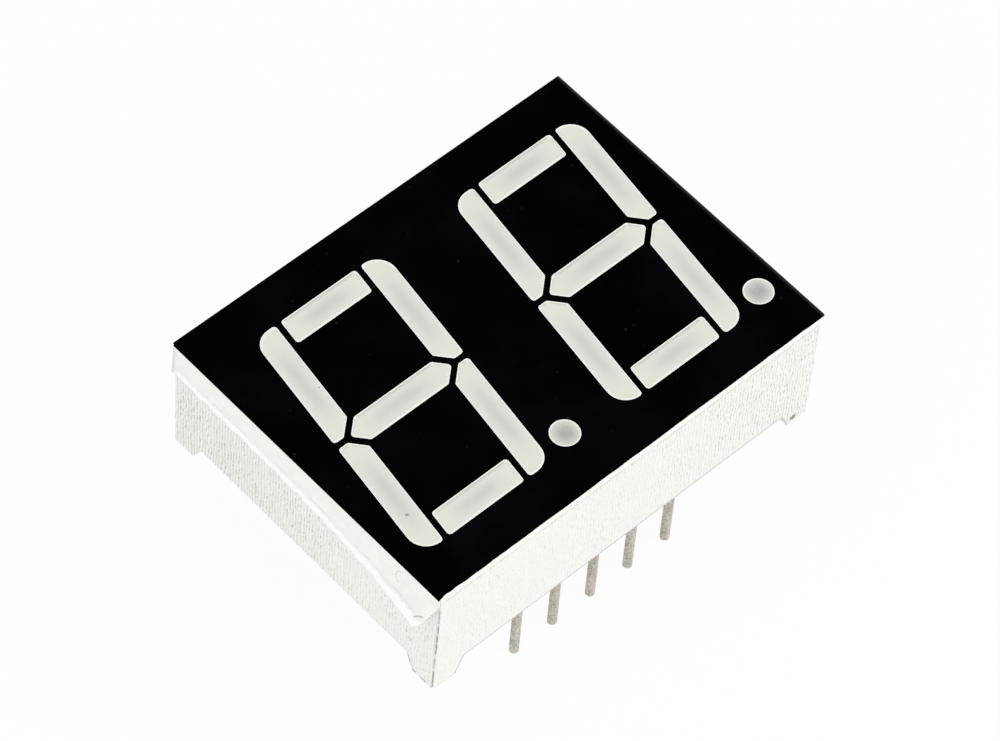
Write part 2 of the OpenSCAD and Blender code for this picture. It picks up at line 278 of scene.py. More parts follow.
@dataclass
class EffectLibrary:
    """Builds each shared shader group once and places it in the materials."""

    built: dict[Effect, bpy.types.NodeTree] = field(default_factory=dict)

    def place(self, tree: Tree, effect: Effect, vector: Socket, **values: float) -> bpy.types.Node:
        """Places a group in a material.

        Args:
            tree: The material's tree.
            effect: Which group.
            vector: Coordinates in millimetres.
            values: The group's own inputs.

        Returns:
            The group's node.
        """
        makers = {
            Effect.TOOL_MARKS: self._tool_marks,
            Effect.SPECKS: self._specks,
            Effect.MOTTLE: self._mottle,
            Effect.GRAIN: self._grain,
        }
        if effect not in self.built:
            self.built[effect] = makers[effect]()
        made = tree.add("ShaderNodeGroup")
        made.node_tree = self.built[effect]
        tree.join(vector, made.inputs["Vector"])
        for name, value in values.items():
            made.inputs[name].default_value = value
        return made

    def mottle(self, tree: Tree, vector: Socket, scale: float, low: float = 0.3, high: float = 0.7) -> Socket:
        """Places the slow soft patches.

        Args:
            tree: The material's tree.
            vector: Coordinates in millimetres.
            scale: How many patches lie on a millimetre.
            low: The noise below which there is no patch.
            high: The noise above which a patch is full.

        Returns:
            The patches, from 0 to 1.
        """
        return self.place(tree, Effect.MOTTLE, vector, Scale=scale, Low=low, High=high).outputs["Value"]

    def specks(self, tree: Tree, vector: Socket, scale: float, amount: float, size: float) -> Socket:
        """Places the scattered soft specks.

        Args:
            tree: The material's tree.
            vector: Coordinates in millimetres.
            scale: How many places for a speck lie on a millimetre.
            amount: The share of the places that have one.
            size: The specks' radius, in places.

        Returns:
            The specks' mask.
        """
        return self.place(tree, Effect.SPECKS, vector, Scale=scale, Amount=amount, Size=size).outputs["Mask"]

    def grain(self, tree: Tree, vector: Socket, scale: float) -> Socket:
        """Places the fine grain.

        Args:
            tree: The material's tree.
            vector: Coordinates in millimetres.
            scale: How many grains lie on a millimetre.

        Returns:
            The grain's height.
        """
        return self.place(tree, Effect.GRAIN, vector, Scale=scale).outputs["Height"]

    @staticmethod
    def _open(name: str, inputs: dict[str, float], outputs: tuple[str, ...]) -> tuple:
        """Starts a group with a Vector input and the named numbers.

        Args:
            name: The group's name.
            inputs: Its number inputs, with their defaults.
            outputs: Its number outputs.

        Returns:
            The group, its tree helper, its input node and its output node.
        """
        group = bpy.data.node_groups.new(name, "ShaderNodeTree")
        group.interface.new_socket("Vector", in_out="INPUT", socket_type="NodeSocketVector")
        for label, value in inputs.items():
            made = group.interface.new_socket(label, in_out="INPUT", socket_type="NodeSocketFloat")
            made.default_value = value
        for label in outputs:
            group.interface.new_socket(label, in_out="OUTPUT", socket_type="NodeSocketFloat")
        tree = Tree(group.nodes, group.links)
        return group, tree, tree.add("NodeGroupInput"), tree.add("NodeGroupOutput")

    def _tool_marks(self) -> bpy.types.NodeTree:
        """Fine upright rows of short strokes, as a sparked mould leaves them.

        Returns:
            The group.
        """
        group, tree, inner, outer = self._open(
            "tool_marks", {"Pitch": 0.27, "Along": 3.2, "Wander": 0.5, "Low": 0.48, "High": 0.64},
            ("Mask", "Rows", "Height"))
        x, y, z = tree.split(inner.outputs["Vector"])
        row = tree.maths("DIVIDE", tree.maths("ADD", x, y), inner.outputs["Pitch"])
        slower_upwards = tree.stretched(inner.outputs["Vector"], (1.0, 1.0, 0.7))
        sway = tree.cloud(slower_upwards, scale=1.9, detail=4.0, roughness=0.6)
        swayed = tree.maths("ADD", row, tree.times(sway, inner.outputs["Wander"]))
        crest = tree.maths("SINE", tree.times(swayed, math.tau))
        tree.join(tree.span(crest, -1.0, 1.0), outer.inputs["Rows"])
        line = tree.span(crest, 0.2, 0.9)
        cells_per_row = 1.15
        place = tree.add("ShaderNodeCombineXYZ")
        tree.join(tree.times(row, cells_per_row), place.inputs[0])
        tree.join(tree.times(z, inner.outputs["Along"]), place.inputs[1])
        strokes = tree.cloud(place.outputs[0], scale=1.0, detail=3.0, roughness=0.6)
        mask = tree.times(line, tree.span(strokes, inner.outputs["Low"], inner.outputs["High"]))
        tree.join(mask, outer.inputs["Mask"])
        tree.join(tree.maths("SUBTRACT", 1.0, mask), outer.inputs["Height"])
        return group

    def _specks(self) -> bpy.types.NodeTree:
        """Scattered soft specks, such as dust.

        Returns:
            The group.
        """
        group, tree, inner, outer = self._open(
            "specks", {"Scale": 2.0, "Amount": 0.2, "Size": 0.2}, ("Mask",))
        cells = tree.add("ShaderNodeTexVoronoi", feature="F1")
        tree.join(inner.outputs["Vector"], cells.inputs["Vector"])
        tree.join(inner.outputs["Scale"], cells.inputs["Scale"])
        near = tree.maths("DIVIDE", cells.outputs["Distance"], inner.outputs["Size"])
        dot = tree.span(near, 0.3, 1.0, 1.0, 0.0)
        chance = tree.add("ShaderNodeSeparateColor")
        tree.join(cells.outputs["Color"], chance.inputs[0])
        kept = tree.maths("LESS_THAN", chance.outputs[0], inner.outputs["Amount"])
        tree.join(tree.times(dot, chance.outputs[1], kept), outer.inputs["Mask"])
        return group

    def _mottle(self) -> bpy.types.NodeTree:
        """Slow soft patches.

        Returns:
            The group.
        """
        group, tree, inner, outer = self._open(
            "mottle", {"Scale": 0.5, "Low": 0.3, "High": 0.7}, ("Value",))
        cloud = tree.cloud(inner.outputs["Vector"], inner.outputs["Scale"], detail=4.0, roughness=0.55)
        tree.join(tree.span(cloud, inner.outputs["Low"], inner.outputs["High"]), outer.inputs["Value"])
        return group

    def _grain(self) -> bpy.types.NodeTree:
        """Very fine even grain, for the feel of a moulded or cast surface.

        Returns:
            The group.
        """
        group, tree, inner, outer = self._open("grain", {"Scale": 12.0}, ("Height",))
        fine = tree.cloud(inner.outputs["Vector"], inner.outputs["Scale"], detail=2.0, roughness=0.6)
        tree.join(fine, outer.inputs["Height"])
        return group


@dataclass
class Surface:
    """A material with one Principled BSDF, and its coordinates in millimetres."""

    name: str
    roughness: float
    metallic: float = 0.0
    specular: float = 0.5

    def __post_init__(self) -> None:
        """Makes the material, its shader and its coordinates."""
        self.material = bpy.data.materials.new(self.name)
        self.material.use_nodes = True
        tree = self.material.node_tree
        tree.nodes.clear()
        self.tree = Tree(tree.nodes, tree.links)
        self.shader = self.tree.add("ShaderNodeBsdfPrincipled", {
            "Roughness": self.roughness, "Metallic": self.metallic, "Specular IOR Level": self.specular})
        output = self.tree.add("ShaderNodeOutputMaterial")
        self.tree.join(self.shader.outputs[0], output.inputs["Surface"])
        place = self.tree.add("ShaderNodeTexCoord")
        to_mm = self.tree.add("ShaderNodeVectorMath", operation="SCALE")
        to_mm.inputs["Scale"].default_value = 1.0 / MM
        self.tree.join(place.outputs["Object"], to_mm.inputs[0])
        self.vector = to_mm.outputs[0]

    def parts(self) -> tuple[Socket, Socket, Socket]:
        """The three coordinates in millimetres."""
        return self.tree.split(self.vector)

    def facing(self) -> tuple[Socket, Socket, Socket]:
        """How much the surface faces each axis, either way."""
        normal = self.tree.add("ShaderNodeNewGeometry").outputs["True Normal"]
        return tuple(self.tree.maths("ABSOLUTE", part) for part in self.tree.split(normal))

    def attribute(self, name: str) -> Socket:
        """A number stored on the mesh's vertices."""
        return self.tree.add("ShaderNodeAttribute", attribute_name=name).outputs["Fac"]

    def colour(self, socket: Socket) -> None:
        """Feeds the base colour."""
        self.tree.join(socket, self.shader.inputs["Base Color"])

    def rough(self, socket: Socket) -> None:
        """Feeds the roughness."""
        self.tree.join(socket, self.shader.inputs["Roughness"])

    def bump(self, height: Socket, strength: float, depth_mm: float) -> None:
        """Adds relief.

        Args:
            height: The height, from 0 to 1.
            strength: How strongly it shows.
            depth_mm: Its real depth in millimetres.
        """
        made = self.tree.add("ShaderNodeBump", {"Strength": strength, "Distance": depth_mm * MM})
        self.tree.join(height, made.inputs["Height"])
        self.tree.join(made.outputs[0], self.shader.inputs["Normal"])


# Finishes


@dataclass(frozen=True)
class HousingShape:
    """The sizes of the moulding that its finish follows, in millimetres."""

    half_w: float
    half_d: float
    rim: float
    band_low: float
    groove_low: float
    corner: float
    open_x: float
    foot_x: float


@dataclass(frozen=True)
class HousingFinish:
    """White moulded plastic with upright tool marks below a smooth band. Its lengths are in millimetres."""

    base: Colour = (0.93, 0.93, 0.885)
    mark: Colour = (0.50, 0.49, 0.45)
    # painted shade, on the walls' lower edges, in the groove and on the corner flats
    shade: Colour = (0.55, 0.55, 0.56)
    # dark of the strokes on the left wall, and of the painted shade in the corner lines and at the right
    # foot's ramp
    grime_and_shade: Colour = (0.20, 0.185, 0.16)
    # brown of the specks, and of the dashes of painted shade in the groove
    rust_and_shade: Colour = (0.36, 0.27, 0.17)
    sole_dark: Colour = (0.27, 0.26, 0.24)
    roughness: float = 0.55
    specular: float = 0.35
    band_blur: float = 0.08
    fine_share: float = 0.8
    between_clusters: float = 0.35
    side_marks: float = 0.75
    front_marks: Pair = (0.22, 0.80)
    front_part: Pair = (-0.7, 0.9)
    front_rows: Pair = (0.14, 0.26)
    side_part: Pair = (-0.6, 0.7)
    side_rows: Pair = (0.10, 0.42)
    edge_w: Pair = (0.14, 0.05)
    front_edge: float = 0.85
    side_edge: Pair = (0.35, 0.7)
    side_edge_part: Pair = (-0.35, -0.9)
    groove_above: Pair = (0.07, 0.01)
    groove_below: float = 0.04
    groove_shade: float = 0.35
    # strength of the dashes of painted shade in the groove
    groove_dash_shade: float = 0.45
    sole_h: Pair = (0.17, 0.07)
    ramp_w: Pair = (0.13, 0.05)
    ramp_share: float = 0.5
    darkened_r: float = 3.0
    darkened: float = 0.9
    front_darkened: float = 0.55
    # the spot of painted shadow at the right foot's ramp
    ramp_shadow_at: Point2 = (11.36, 0.36)
    ramp_shadow_r: float = 0.25
    smear_at: Point2 = (-7.55, 2.6)
    smear_r: float = 0.5
    # strength of the painted shadow at the ramp and of the dark strokes on the left wall
    stain_and_shadow: float = 0.85
    line_top: float = 7.35
    line_share: Pair = (0.3, 0.85)
    line_w: Pair = (0.34, 0.12)
    line_frayed: float = 0.16
    line_fades: float = 3.0
    flat_shade: float = 0.35
    grain_share: float = 0.25
    relief: float = 0.55
    relief_depth: float = 0.03

    def build(self, effects: EffectLibrary, shape: HousingShape) -> bpy.types.Material:
        """Makes the material.

        Args:
            effects: The shared groups.
            shape: The moulding's sizes.

        Returns:
            The material.
        """
        paint = WallPaint(self, effects, shape)
        colour = paint.tool_marks()
        colour = paint.opening_edges(colour)
        colour = paint.groove(colour)
        colour = paint.soles(colour)
        colour = paint.smear_and_ramp_shadow(colour)
        colour = paint.corners(colour)
        return paint.finished(colour)


@dataclass
class WallPaint:
    """The housing's material while it is put on, one kind of mark after the other."""

    finish: HousingFinish
    effects: EffectLibrary
    shape: HousingShape

    def __post_init__(self) -> None:
        """Starts the material with the masks that several kinds of mark share."""
        self.surface = Surface("moulded_white", self.finish.roughness, specular=self.finish.specular)
        self.tree = self.surface.tree
        self.x, self.y, self.z = self.surface.parts()
        self.nx, self.ny, nz = self.surface.facing()
        self.marks = self._marks(Pitch=0.205, Along=3.6, Wander=2.2)
        self.fine = self._marks(Pitch=0.17, Along=5.2, Wander=1.6, High=0.66)
        self.dashes = self._mottle(scale=2.4, low=0.44, high=0.58)
        t = self.tree
        band_low = self.shape.band_low
        self.upright = t.span(nz, 0.5, 0.2)
        self.below_band = t.times(t.span(self.z, band_low, band_low - self.finish.band_blur), self.upright)
        self.oblique = t.times(self.nx, self.ny)
        self.wall = t.times(self.upright, t.span(self.oblique, 0.3, 0.1))
        self.from_rim, self.from_ramp = self._opening()

    def tool_marks(self) -> Socket:
        """Draws the upright rows of strokes, stronger to the right and to the rear.

        Returns:
            The colour.
        """
        t, finish, shape = self.tree, self.finish, self.shape
        strokes = t.maths("MAXIMUM", self.marks.outputs["Mask"],
                          t.times(self.fine.outputs["Mask"], finish.fine_share))
        clusters = self._mottle(scale=0.45, low=0.35, high=0.65)
        strokes = t.times(strokes, t.span(clusters, 0.0, 1.0, finish.between_clusters, 1.0))
        to_right = [share * shape.half_w for share in finish.front_part]
        to_rear = [share * shape.half_d for share in finish.side_part]
        side_rows = t.times(t.span(self.y, *to_rear, *finish.side_rows), self.nx, self.marks.outputs["Rows"])
        front_rows = t.times(t.span(self.x, *to_right, *finish.front_rows), self.ny,
                             self.marks.outputs["Rows"])
        both = t.maths("ADD", strokes, t.maths("ADD", side_rows, front_rows))
        # The marks are real; their stronger colour on the side walls than on the front wall is painted shade
        # of the light that grazes the side walls.
        front = t.times(t.span(self.x, *to_right, *finish.front_marks), self.ny)
        by_side = t.maths("MAXIMUM", front, t.times(self.nx, finish.side_marks))
        return t.blend(t.times(both, self.below_band, by_side), finish.base, finish.mark)

    def opening_edges(self, colour: Socket) -> Socket:
        """Paints shade along the walls' lower edges between the feet, on the side walls only near the front.

        Args:
            colour: The colour so far.

        Returns:
            The colour with the edges on it.
        """
        t, finish, shape = self.tree, self.finish, self.shape
        edge = t.times(t.span(t.maths("MAXIMUM", self.from_rim, self.from_ramp), *finish.edge_w), self.wall)
        near_front = t.span(self.y, *(share * shape.half_d for share in finish.side_edge_part))
        on_side = t.times(t.span(self.z, shape.rim, shape.rim * 0.8, *finish.side_edge), near_front)
        strong = t.maths("MAXIMUM", t.times(self.ny, finish.front_edge), on_side)
        return t.blend(t.times(edge, strong), colour, finish.shade)

    def groove(self, colour: Socket) -> Socket:
        """Paints shade in the groove under the band, with darker brown dashes of painted shade in it.

        Args:
            colour: The colour so far.

        Returns:
            The colour with the groove on it.
        """
        t, finish, low = self.tree, self.finish, self.shape.groove_low
        groove = t.times(t.span(self.z, *(low + above for above in finish.groove_above)), self.upright,
                         t.span(self.z, low - finish.groove_below, low))
        colour = t.blend(t.times(groove, finish.groove_shade), colour, finish.shade)
        return t.blend(t.times(groove, self.dashes, finish.groove_dash_shade), colour, finish.rust_and_shade)

    def soles(self, colour: Socket) -> Socket:
        """Draws dark dashes along the sole of the front left foot.

        Args:
            colour: The colour so far.

        Returns:
            The colour with the dashes on it.
        """
        t, finish, shape = self.tree, self.finish, self.shape
        # Darker dashes along the bottom of the walls and on the ramp, most near the front left corner.
        on_ramp = t.times(t.span(self.from_ramp, *finish.ramp_w), t.span(self.z, shape.rim, shape.rim * 0.7))
        sole = t.maths("MAXIMUM", t.span(self.z, *finish.sole_h), t.times(on_ramp, finish.ramp_share))
        dashes = t.times(sole, self._mottle(scale=3.2, low=0.46, high=0.56), self.wall)
        corner = t.away(self.surface.vector, (-shape.half_w, -shape.half_d, 0.0))
        near = t.span(corner, finish.darkened_r, finish.darkened_r * 0.5, 0.0, finish.darkened)
        darkened = t.times(near, t.span(self.ny, 0.4, 0.8, 1.0, finish.front_darkened))
        return t.blend(t.times(dashes, darkened), colour, finish.sole_dark)

    def smear_and_ramp_shadow(self, colour: Socket) -> Socket:
        """Puts a spot of painted shadow on the front wall at the right foot's ramp, and a few dark strokes on
        the left wall.

        Args:
            colour: The colour so far.

        Returns:
            The colour with the stains on it.
        """
        t, finish, shape = self.tree, self.finish, self.shape
        # Painted shadow: a dark spot where the ramp's inner side lies in shade.
        chip = t.away(self.surface.vector, (finish.ramp_shadow_at[0], -shape.half_d, finish.ramp_shadow_at[1]))
        ragged = t.times(chip, t.span(self.fine.outputs["Rows"], 0.0, 1.0, 0.85, 1.25))
        ramp_shadow = t.span(ragged, finish.ramp_shadow_r, finish.ramp_shadow_r * 0.6, 0.0, finish.stain_and_shadow)
        colour = t.blend(ramp_shadow, colour, finish.grime_and_shade)
        smear = t.away(self.surface.vector, (-shape.half_w, *finish.smear_at))
        streaks = t.times(t.span(smear, finish.smear_r, finish.smear_r * 0.7),
                          t.span(self.fine.outputs["Mask"], 0.25, 0.5), finish.stain_and_shadow)
        return t.blend(streaks, colour, finish.grime_and_shade)

    def corners(self, colour: Socket) -> Socket:
        """Paints shade on the flats at the upright corners, with a dark line of painted shade at their front
        or rear side.

        Args:
            colour: The colour so far.

        Returns:
            The colour with the flats on it.
        """
        t, finish, shape = self.tree, self.finish, self.shape
        flat = t.span(self.oblique, 0.15, 0.4)
        inward = t.maths("SUBTRACT", shape.half_w, t.maths("ABSOLUTE", self.x))
        share = t.maths("DIVIDE", inward, shape.corner)
        off = t.maths("SUBTRACT", share, t.span(self.z, 0.0, shape.band_low, *finish.line_share))
        outside = t.times(t.span(off, 0.05, -0.05), flat)
        colour = t.blend(t.times(outside, finish.flat_shade), colour, finish.shade)
        frayed = t.maths("ADD", t.maths("ABSOLUTE", off), t.times(self.dashes, finish.line_frayed))
        line = t.times(t.span(frayed, *finish.line_w), flat)
        below = t.times(t.span(self.z, finish.line_top, finish.line_top - 0.15),
                        t.span(self.z, finish.line_top, finish.line_top - finish.line_fades, 0.6, 1.0))
        strong = t.times(t.span(self.dashes, 0.0, 1.0, 0.80, 0.40), below)
        return t.blend(t.times(line, strong), colour, finish.grime_and_shade)

    def finished(self, colour: Socket) -> bpy.types.Material:
        """Feeds the colour, with scattered specks, and the relief of the marks.

        Args:
            colour: The colour so far.

        Returns:
            The material.
        """
        t, finish, s = self.tree, self.finish, self.surface
        specks = self.effects.specks(t, s.vector, scale=0.8, amount=0.16, size=0.07)
        s.colour(t.blend(specks, colour, finish.rust_and_shade))
        grain = t.times(self.effects.grain(t, s.vector, scale=14.0), finish.grain_share)
        lines = t.times(self.marks.outputs["Height"], self.below_band)
        s.bump(t.maths("ADD", lines, grain), finish.relief, finish.relief_depth)
        return s.material

    def _marks(self, **values: float) -> bpy.types.Node:
        """Places the group of tool marks with its own values."""
        return self.effects.place(self.tree, Effect.TOOL_MARKS, self.surface.vector, **values)

    def _mottle(self, scale: float, low: float, high: float) -> Socket:
        """Places the group of soft patches with its own values."""
        return self.effects.mottle(self.tree, self.surface.vector, scale, low, high)

    def _opening(self) -> tuple[Socket, Socket]:
        """How far a place on a wall lies from the opening between two feet.

        Returns:
            The distances from the rim's line and from the ramp's line, in millimetres.
        """
        t, shape = self.tree, self.shape
        sideways = t.maths("ADD", t.maths("ABSOLUTE", self.y), shape.half_w - shape.half_d)
        reach = t.maths("MAXIMUM", t.times(t.maths("ABSOLUTE", self.x), self.ny), t.times(sideways, self.nx))
        above = t.maths("SUBTRACT", self.z, shape.rim)
        ramp = shape.foot_x - shape.open_x
        length = math.hypot(ramp, shape.rim)
        outward = t.times(t.maths("SUBTRACT", reach, shape.open_x), shape.rim / length)
        return above, t.maths("ADD", outward, t.times(above, ramp / length))


@dataclass(frozen=True)
class PrintFinish:
    """Satin black print with a little dust, worn thin at its right edge."""

    base: Colour = (0.0008, 0.0008, 0.0009)
    haze: Colour = (0.0022, 0.0022, 0.0034)
    dust: Colour = (0.04, 0.04, 0.052)
    dusty: float = 0.35
    thin: Colour = (0.03, 0.028, 0.026)
    thin_w: float = 0.24
    roughness: float = 0.5
    hazy_roughness: float = 0.62

    def build(self, effects: EffectLibrary, right: float) -> bpy.types.Material:
        """Makes the material.

        Args:
            effects: The shared groups.
            right: Where the print's right edge is, in millimetres. The print thins out towards it.

        Returns:
            The material.
        """
        s = Surface("black_print", self.roughness, specular=0.0)
        t = s.tree
        haze = effects.mottle(t, s.vector, scale=0.22, low=0.42, high=0.72)
        colour = t.blend(haze, self.base, self.haze)
        dust = t.maths("MAXIMUM", effects.specks(t, s.vector, scale=2.6, amount=0.16, size=0.14),
                       effects.specks(t, s.vector, scale=0.9, amount=0.16, size=0.10))
        colour = t.blend(t.times(dust, self.dusty), colour, self.dust)
        x, _, _ = s.parts()
        s.colour(t.blend(t.span(x, right - self.thin_w, right), colour, self.thin))
        s.rough(t.span(haze, 0.0, 1.0, self.roughness, self.hazy_roughness))
        s.bump(effects.grain(t, s.vector, scale=9.0), strength=0.12, depth_mm=0.01)
        return s.material


@dataclass(frozen=True)
class BareFilmFinish:
    """The white film where nothing is printed, with the scratches and the specks of the photographed one."""

    base: Colour = (0.935, 0.935, 0.885)
    patch: Colour = (0.84, 0.845, 0.815)
    patchy: float = 0.5
    # painted highlight along the tail's free edge
    ridge: Colour = (1.0, 1.0, 0.965)
    ridge_from: Pair = (0.30, 0.65)
    uneven: float = 0.09
    # painted shade just above the highlighted ridge
    shade_above_ridge: Colour = (0.74, 0.74, 0.70)
    shade_above_ridge_range: Pair = (0.1, 0.6)
    scratch: Colour = (0.42, 0.40, 0.35)
    scratch_w: float = 0.035
    ring_at: Point2 = (-7.0, 7.17)
    ring_r: float = 0.3
    ring_dark: float = 0.5
    gouge_at: Point2 = (-9.41, 5.82)
    gouge_r: float = 0.95
    gouge_dark: float = 0.8
    roughness: float = 0.38

    def build(self, effects: EffectLibrary) -> bpy.types.Material:
        """Makes the material.

        Args:
            effects: The shared groups.

        Returns:
            The material.
        """
        s = Surface("white_film", self.roughness, specular=0.4)
        t = s.tree
        cloud = effects.mottle(t, s.vector, scale=1.6, low=0.35, high=0.7)
        colour = t.blend(t.times(cloud, self.patchy), self.base, self.patch)
        colour = t.blend(effects.specks(t, s.vector, scale=0.9, amount=0.14, size=0.07), colour, self.scratch)
        lumpy = effects.mottle(t, s.vector, scale=2.2, low=0.35, high=0.65)
        ridge = t.maths("ADD", s.attribute("ridge"), t.span(lumpy, 0.0, 1.0, -self.uneven, self.uneven))
        # Painted shade in a band just above the ridge, then a painted highlight on the ridge.
        shade_above_ridge = t.times(t.span(ridge, 0.15, 0.3), t.span(ridge, 0.5, 0.35),
                         t.span(lumpy, 0.0, 1.0, *self.shade_above_ridge_range))
        colour = t.blend(shade_above_ridge, colour, self.shade_above_ridge)
        colour = t.blend(t.span(ridge, *self.ridge_from), colour, self.ridge)
        across, _, arc = self._arc(s, self.ring_at, self.ring_r)
        left_half = t.span(across, -0.08, 0.02)
        colour = t.blend(t.times(arc, left_half, self.ring_dark), colour, self.scratch)
        across, up, arc = self._arc(s, self.gouge_at, self.gouge_r)
        upper_end = t.times(t.span(up, 0.55, 0.65), t.span(across, 0.25, 0.35))
        s.colour(t.blend(t.times(arc, upper_end, self.gouge_dark), colour, self.scratch))
        s.bump(effects.grain(t, s.vector, scale=7.0), strength=0.08, depth_mm=0.01)
        return s.material

    def _arc(self, s: Surface, middle: Point2, radius: float) -> tuple[Socket, Socket, Socket]:
        """A round scratch in the tail.

        Args:
            s: The film's surface.
            middle: The y and z of its middle, in millimetres.
            radius: Its radius.

        Returns:
            The distances from its middle along y and z, and its mask.
        """
        t = s.tree
        x, y, z = s.parts()
        across = t.maths("SUBTRACT", y, middle[0])
        up = t.maths("SUBTRACT", z, middle[1])
        squares = t.maths("ADD", t.times(across, across), t.times(up, up))
        off = t.maths("ABSOLUTE", t.maths("SUBTRACT", t.maths("SQRT", squares), radius))
        line = t.span(off, self.scratch_w, self.scratch_w * 0.4)
        return across, up, t.times(line, t.maths("LESS_THAN", x, 0.0))


@dataclass(frozen=True)
class ResinFinish:
    """Milky cast resin: pale, warmer at a window's ends, greyer over the chip, where the dark chip shows
    through and its shadow in the resin is painted, bright at the rim.
    """

    base: Colour = (0.69, 0.70, 0.64)
    warm: Colour = (0.70, 0.715, 0.62)
    # grey over the chip: the chip seen through the resin, with its painted shadow
    chip_and_shadow: Colour = (0.55, 0.55, 0.525)
    rim: Colour = (0.82, 0.825, 0.77)
    rim_w: float = 0.085
    spot: Colour = (0.22, 0.17, 0.09)
    spots: tuple[Point3, ...] = ((-10.46, -4.98, 0.11), (-8.82, 3.09, 0.05))
    spotted: float = 0.8
    slow_share: float = 0.3
    quick_share: float = 0.15
    even_share: float = 0.6
    roughness: float = 0.32

    def build(self, effects: EffectLibrary, name: str, chip_and_shadow: float, reach: float = 1.0) -> bpy.types.Material:
        """Makes the material.

        Args:
            effects: The shared groups.
            name: The material's name.
            chip_and_shadow: How strongly the grey over the chip shows: the chip seen through the resin, with
                its painted shadow.
            reach: How far the grey reaches, as a share of a bar's.

        Returns:
            The material.
        """
        s = Surface(name, self.roughness, specular=0.35)
        t = s.tree
        along = t.maths("ABSOLUTE", s.attribute("along"))
        across = t.maths("ABSOLUTE", s.attribute("across"))
        edge = s.attribute("edge_mm")
        slow = effects.mottle(t, s.vector, scale=0.7, low=0.2, high=0.8)
        quick = effects.mottle(t, s.vector, scale=9.0)
        colour = t.blend(t.span(along, 0.35, 0.95), self.base, self.warm)
        middle = t.times(t.span(across, 0.95 * reach, 0.0), t.span(along, 0.85 * reach, 0.15))
        patchy = t.maths("ADD", t.times(slow, self.slow_share), t.times(quick, self.quick_share))
        uneven = t.times(middle, t.maths("ADD", patchy, self.even_share))
        # Grey over the chip: the dark chip seen through the resin, with its shadow in the resin painted.
        colour = t.blend(t.times(uneven, chip_and_shadow), colour, self.chip_and_shadow)
        colour = t.blend(t.span(edge, self.rim_w, self.rim_w * 0.3), colour, self.rim)
        colour = t.blend(effects.specks(t, s.vector, scale=0.55, amount=0.10, size=0.045), colour, self.spot)
        ragged = t.span(quick, 0.0, 1.0, 0.7, 1.5)
        on_face = t.stretched(s.vector, (1.0, 1.0, 0.0))
        for spot_x, spot_y, radius in self.spots:
            off = t.times(t.away(on_face, (spot_x, spot_y, 0.0)), ragged)
            colour = t.blend(t.span(off, radius, radius * 0.5, 0.0, self.spotted), colour, self.spot)
        s.colour(colour)
        s.bump(effects.grain(t, s.vector, scale=5.0), strength=0.10, depth_mm=0.015)
        return s.material


@dataclass(frozen=True)
class BackResinFinish:
    """The open back of the casting: milky, slightly wavy and a little dusty."""

    base: Colour = (0.74, 0.745, 0.70)
    patch: Colour = (0.66, 0.67, 0.62)
    dust: Colour = (0.42, 0.41, 0.37)
    dusty: float = 0.6
    roughness: float = 0.22
    patch_roughness: float = 0.37

    def build(self, effects: EffectLibrary) -> bpy.types.Material:
        """Makes the material.

        Args:
            effects: The shared groups.

        Returns:
            The material.
        """
        s = Surface("cast_back", self.roughness, specular=0.5)
        t = s.tree
        cloud = effects.mottle(t, s.vector, scale=0.3)
        colour = t.blend(cloud, self.base, self.patch)
        dust = t.times(effects.specks(t, s.vector, scale=1.2, amount=0.2, size=0.10), self.dusty)
        s.colour(t.blend(dust, colour, self.dust))
        s.rough(t.span(cloud, 0.0, 1.0, self.roughness, self.patch_roughness))
        s.bump(effects.grain(t, s.vector, scale=3.0), strength=0.10, depth_mm=0.02)
        return s.material


@dataclass(frozen=True)
class MetalFinish:
    """Drawn, plated or poured metal with streaks along Z and dull patches."""

    name: str
    bright: Colour
    dull: Colour
    roughness: float
    streaks: float = 0.5
    patches: float = 0.6
    dull_adds: float = 0.22

    def build(self, effects: EffectLibrary) -> bpy.types.Material:
        """Makes the material.

        Args:
            effects: The shared groups.

        Returns:
            The material.
        """
        s = Surface(self.name, self.roughness, metallic=1.0)
        t = s.tree
        drawn = effects.place(t, Effect.TOOL_MARKS, s.vector, Pitch=0.07, Along=1.6, Low=0.42, High=0.66)
        patch = effects.mottle(t, s.vector, scale=2.6, low=0.35, high=0.65)
        amount = t.maths("MAXIMUM", t.times(drawn.outputs["Mask"], self.streaks),
                         t.times(patch, self.patches))
        s.colour(t.blend(amount, self.bright, self.dull))
        s.rough(t.span(amount, 0.0, 1.0, self.roughness, self.roughness + self.dull_adds))
        s.bump(drawn.outputs["Height"], strength=0.15, depth_mm=0.01)
        return s.material


@dataclass(frozen=True)
class TinnedFinish:
    """Dull tin on drawn wire, with a sandy grain."""

    base: Colour = (0.56, 0.52, 0.44)
    dark: Colour = (0.17, 0.145, 0.105)
    bright: Colour = (0.86, 0.82, 0.74)
    coarse_share: float = 0.70
    fine_share: float = 0.8
    patch_share: float = 0.25
    roughness: float = 0.5
    dark_roughness: float = 0.7
    metallic: float = 0.25

    def build(self, effects: EffectLibrary) -> bpy.types.Material:
        """Makes the material.

        Args:
            effects: The shared groups.

        Returns:
            The material.
        """
        s = Surface("tinned_wire", self.roughness, metallic=self.metallic)
        t = s.tree
        coarse = effects.mottle(t, s.vector, scale=8.0, low=0.40, high=0.66)
        fine = effects.mottle(t, s.vector, scale=15.0, low=0.5, high=0.66)
        patch = effects.mottle(t, s.vector, scale=1.1, low=0.35, high=0.65)
        colour = t.blend(t.times(coarse, self.coarse_share), self.base, self.dark)
        colour = t.blend(t.times(fine, self.fine_share), colour, self.bright)
        s.colour(t.blend(t.times(patch, self.patch_share), colour, self.bright))
        s.rough(t.span(coarse, 0.0, 1.0, self.roughness, self.dark_roughness))
        s.bump(fine, strength=0.25, depth_mm=0.02)
        return s.material


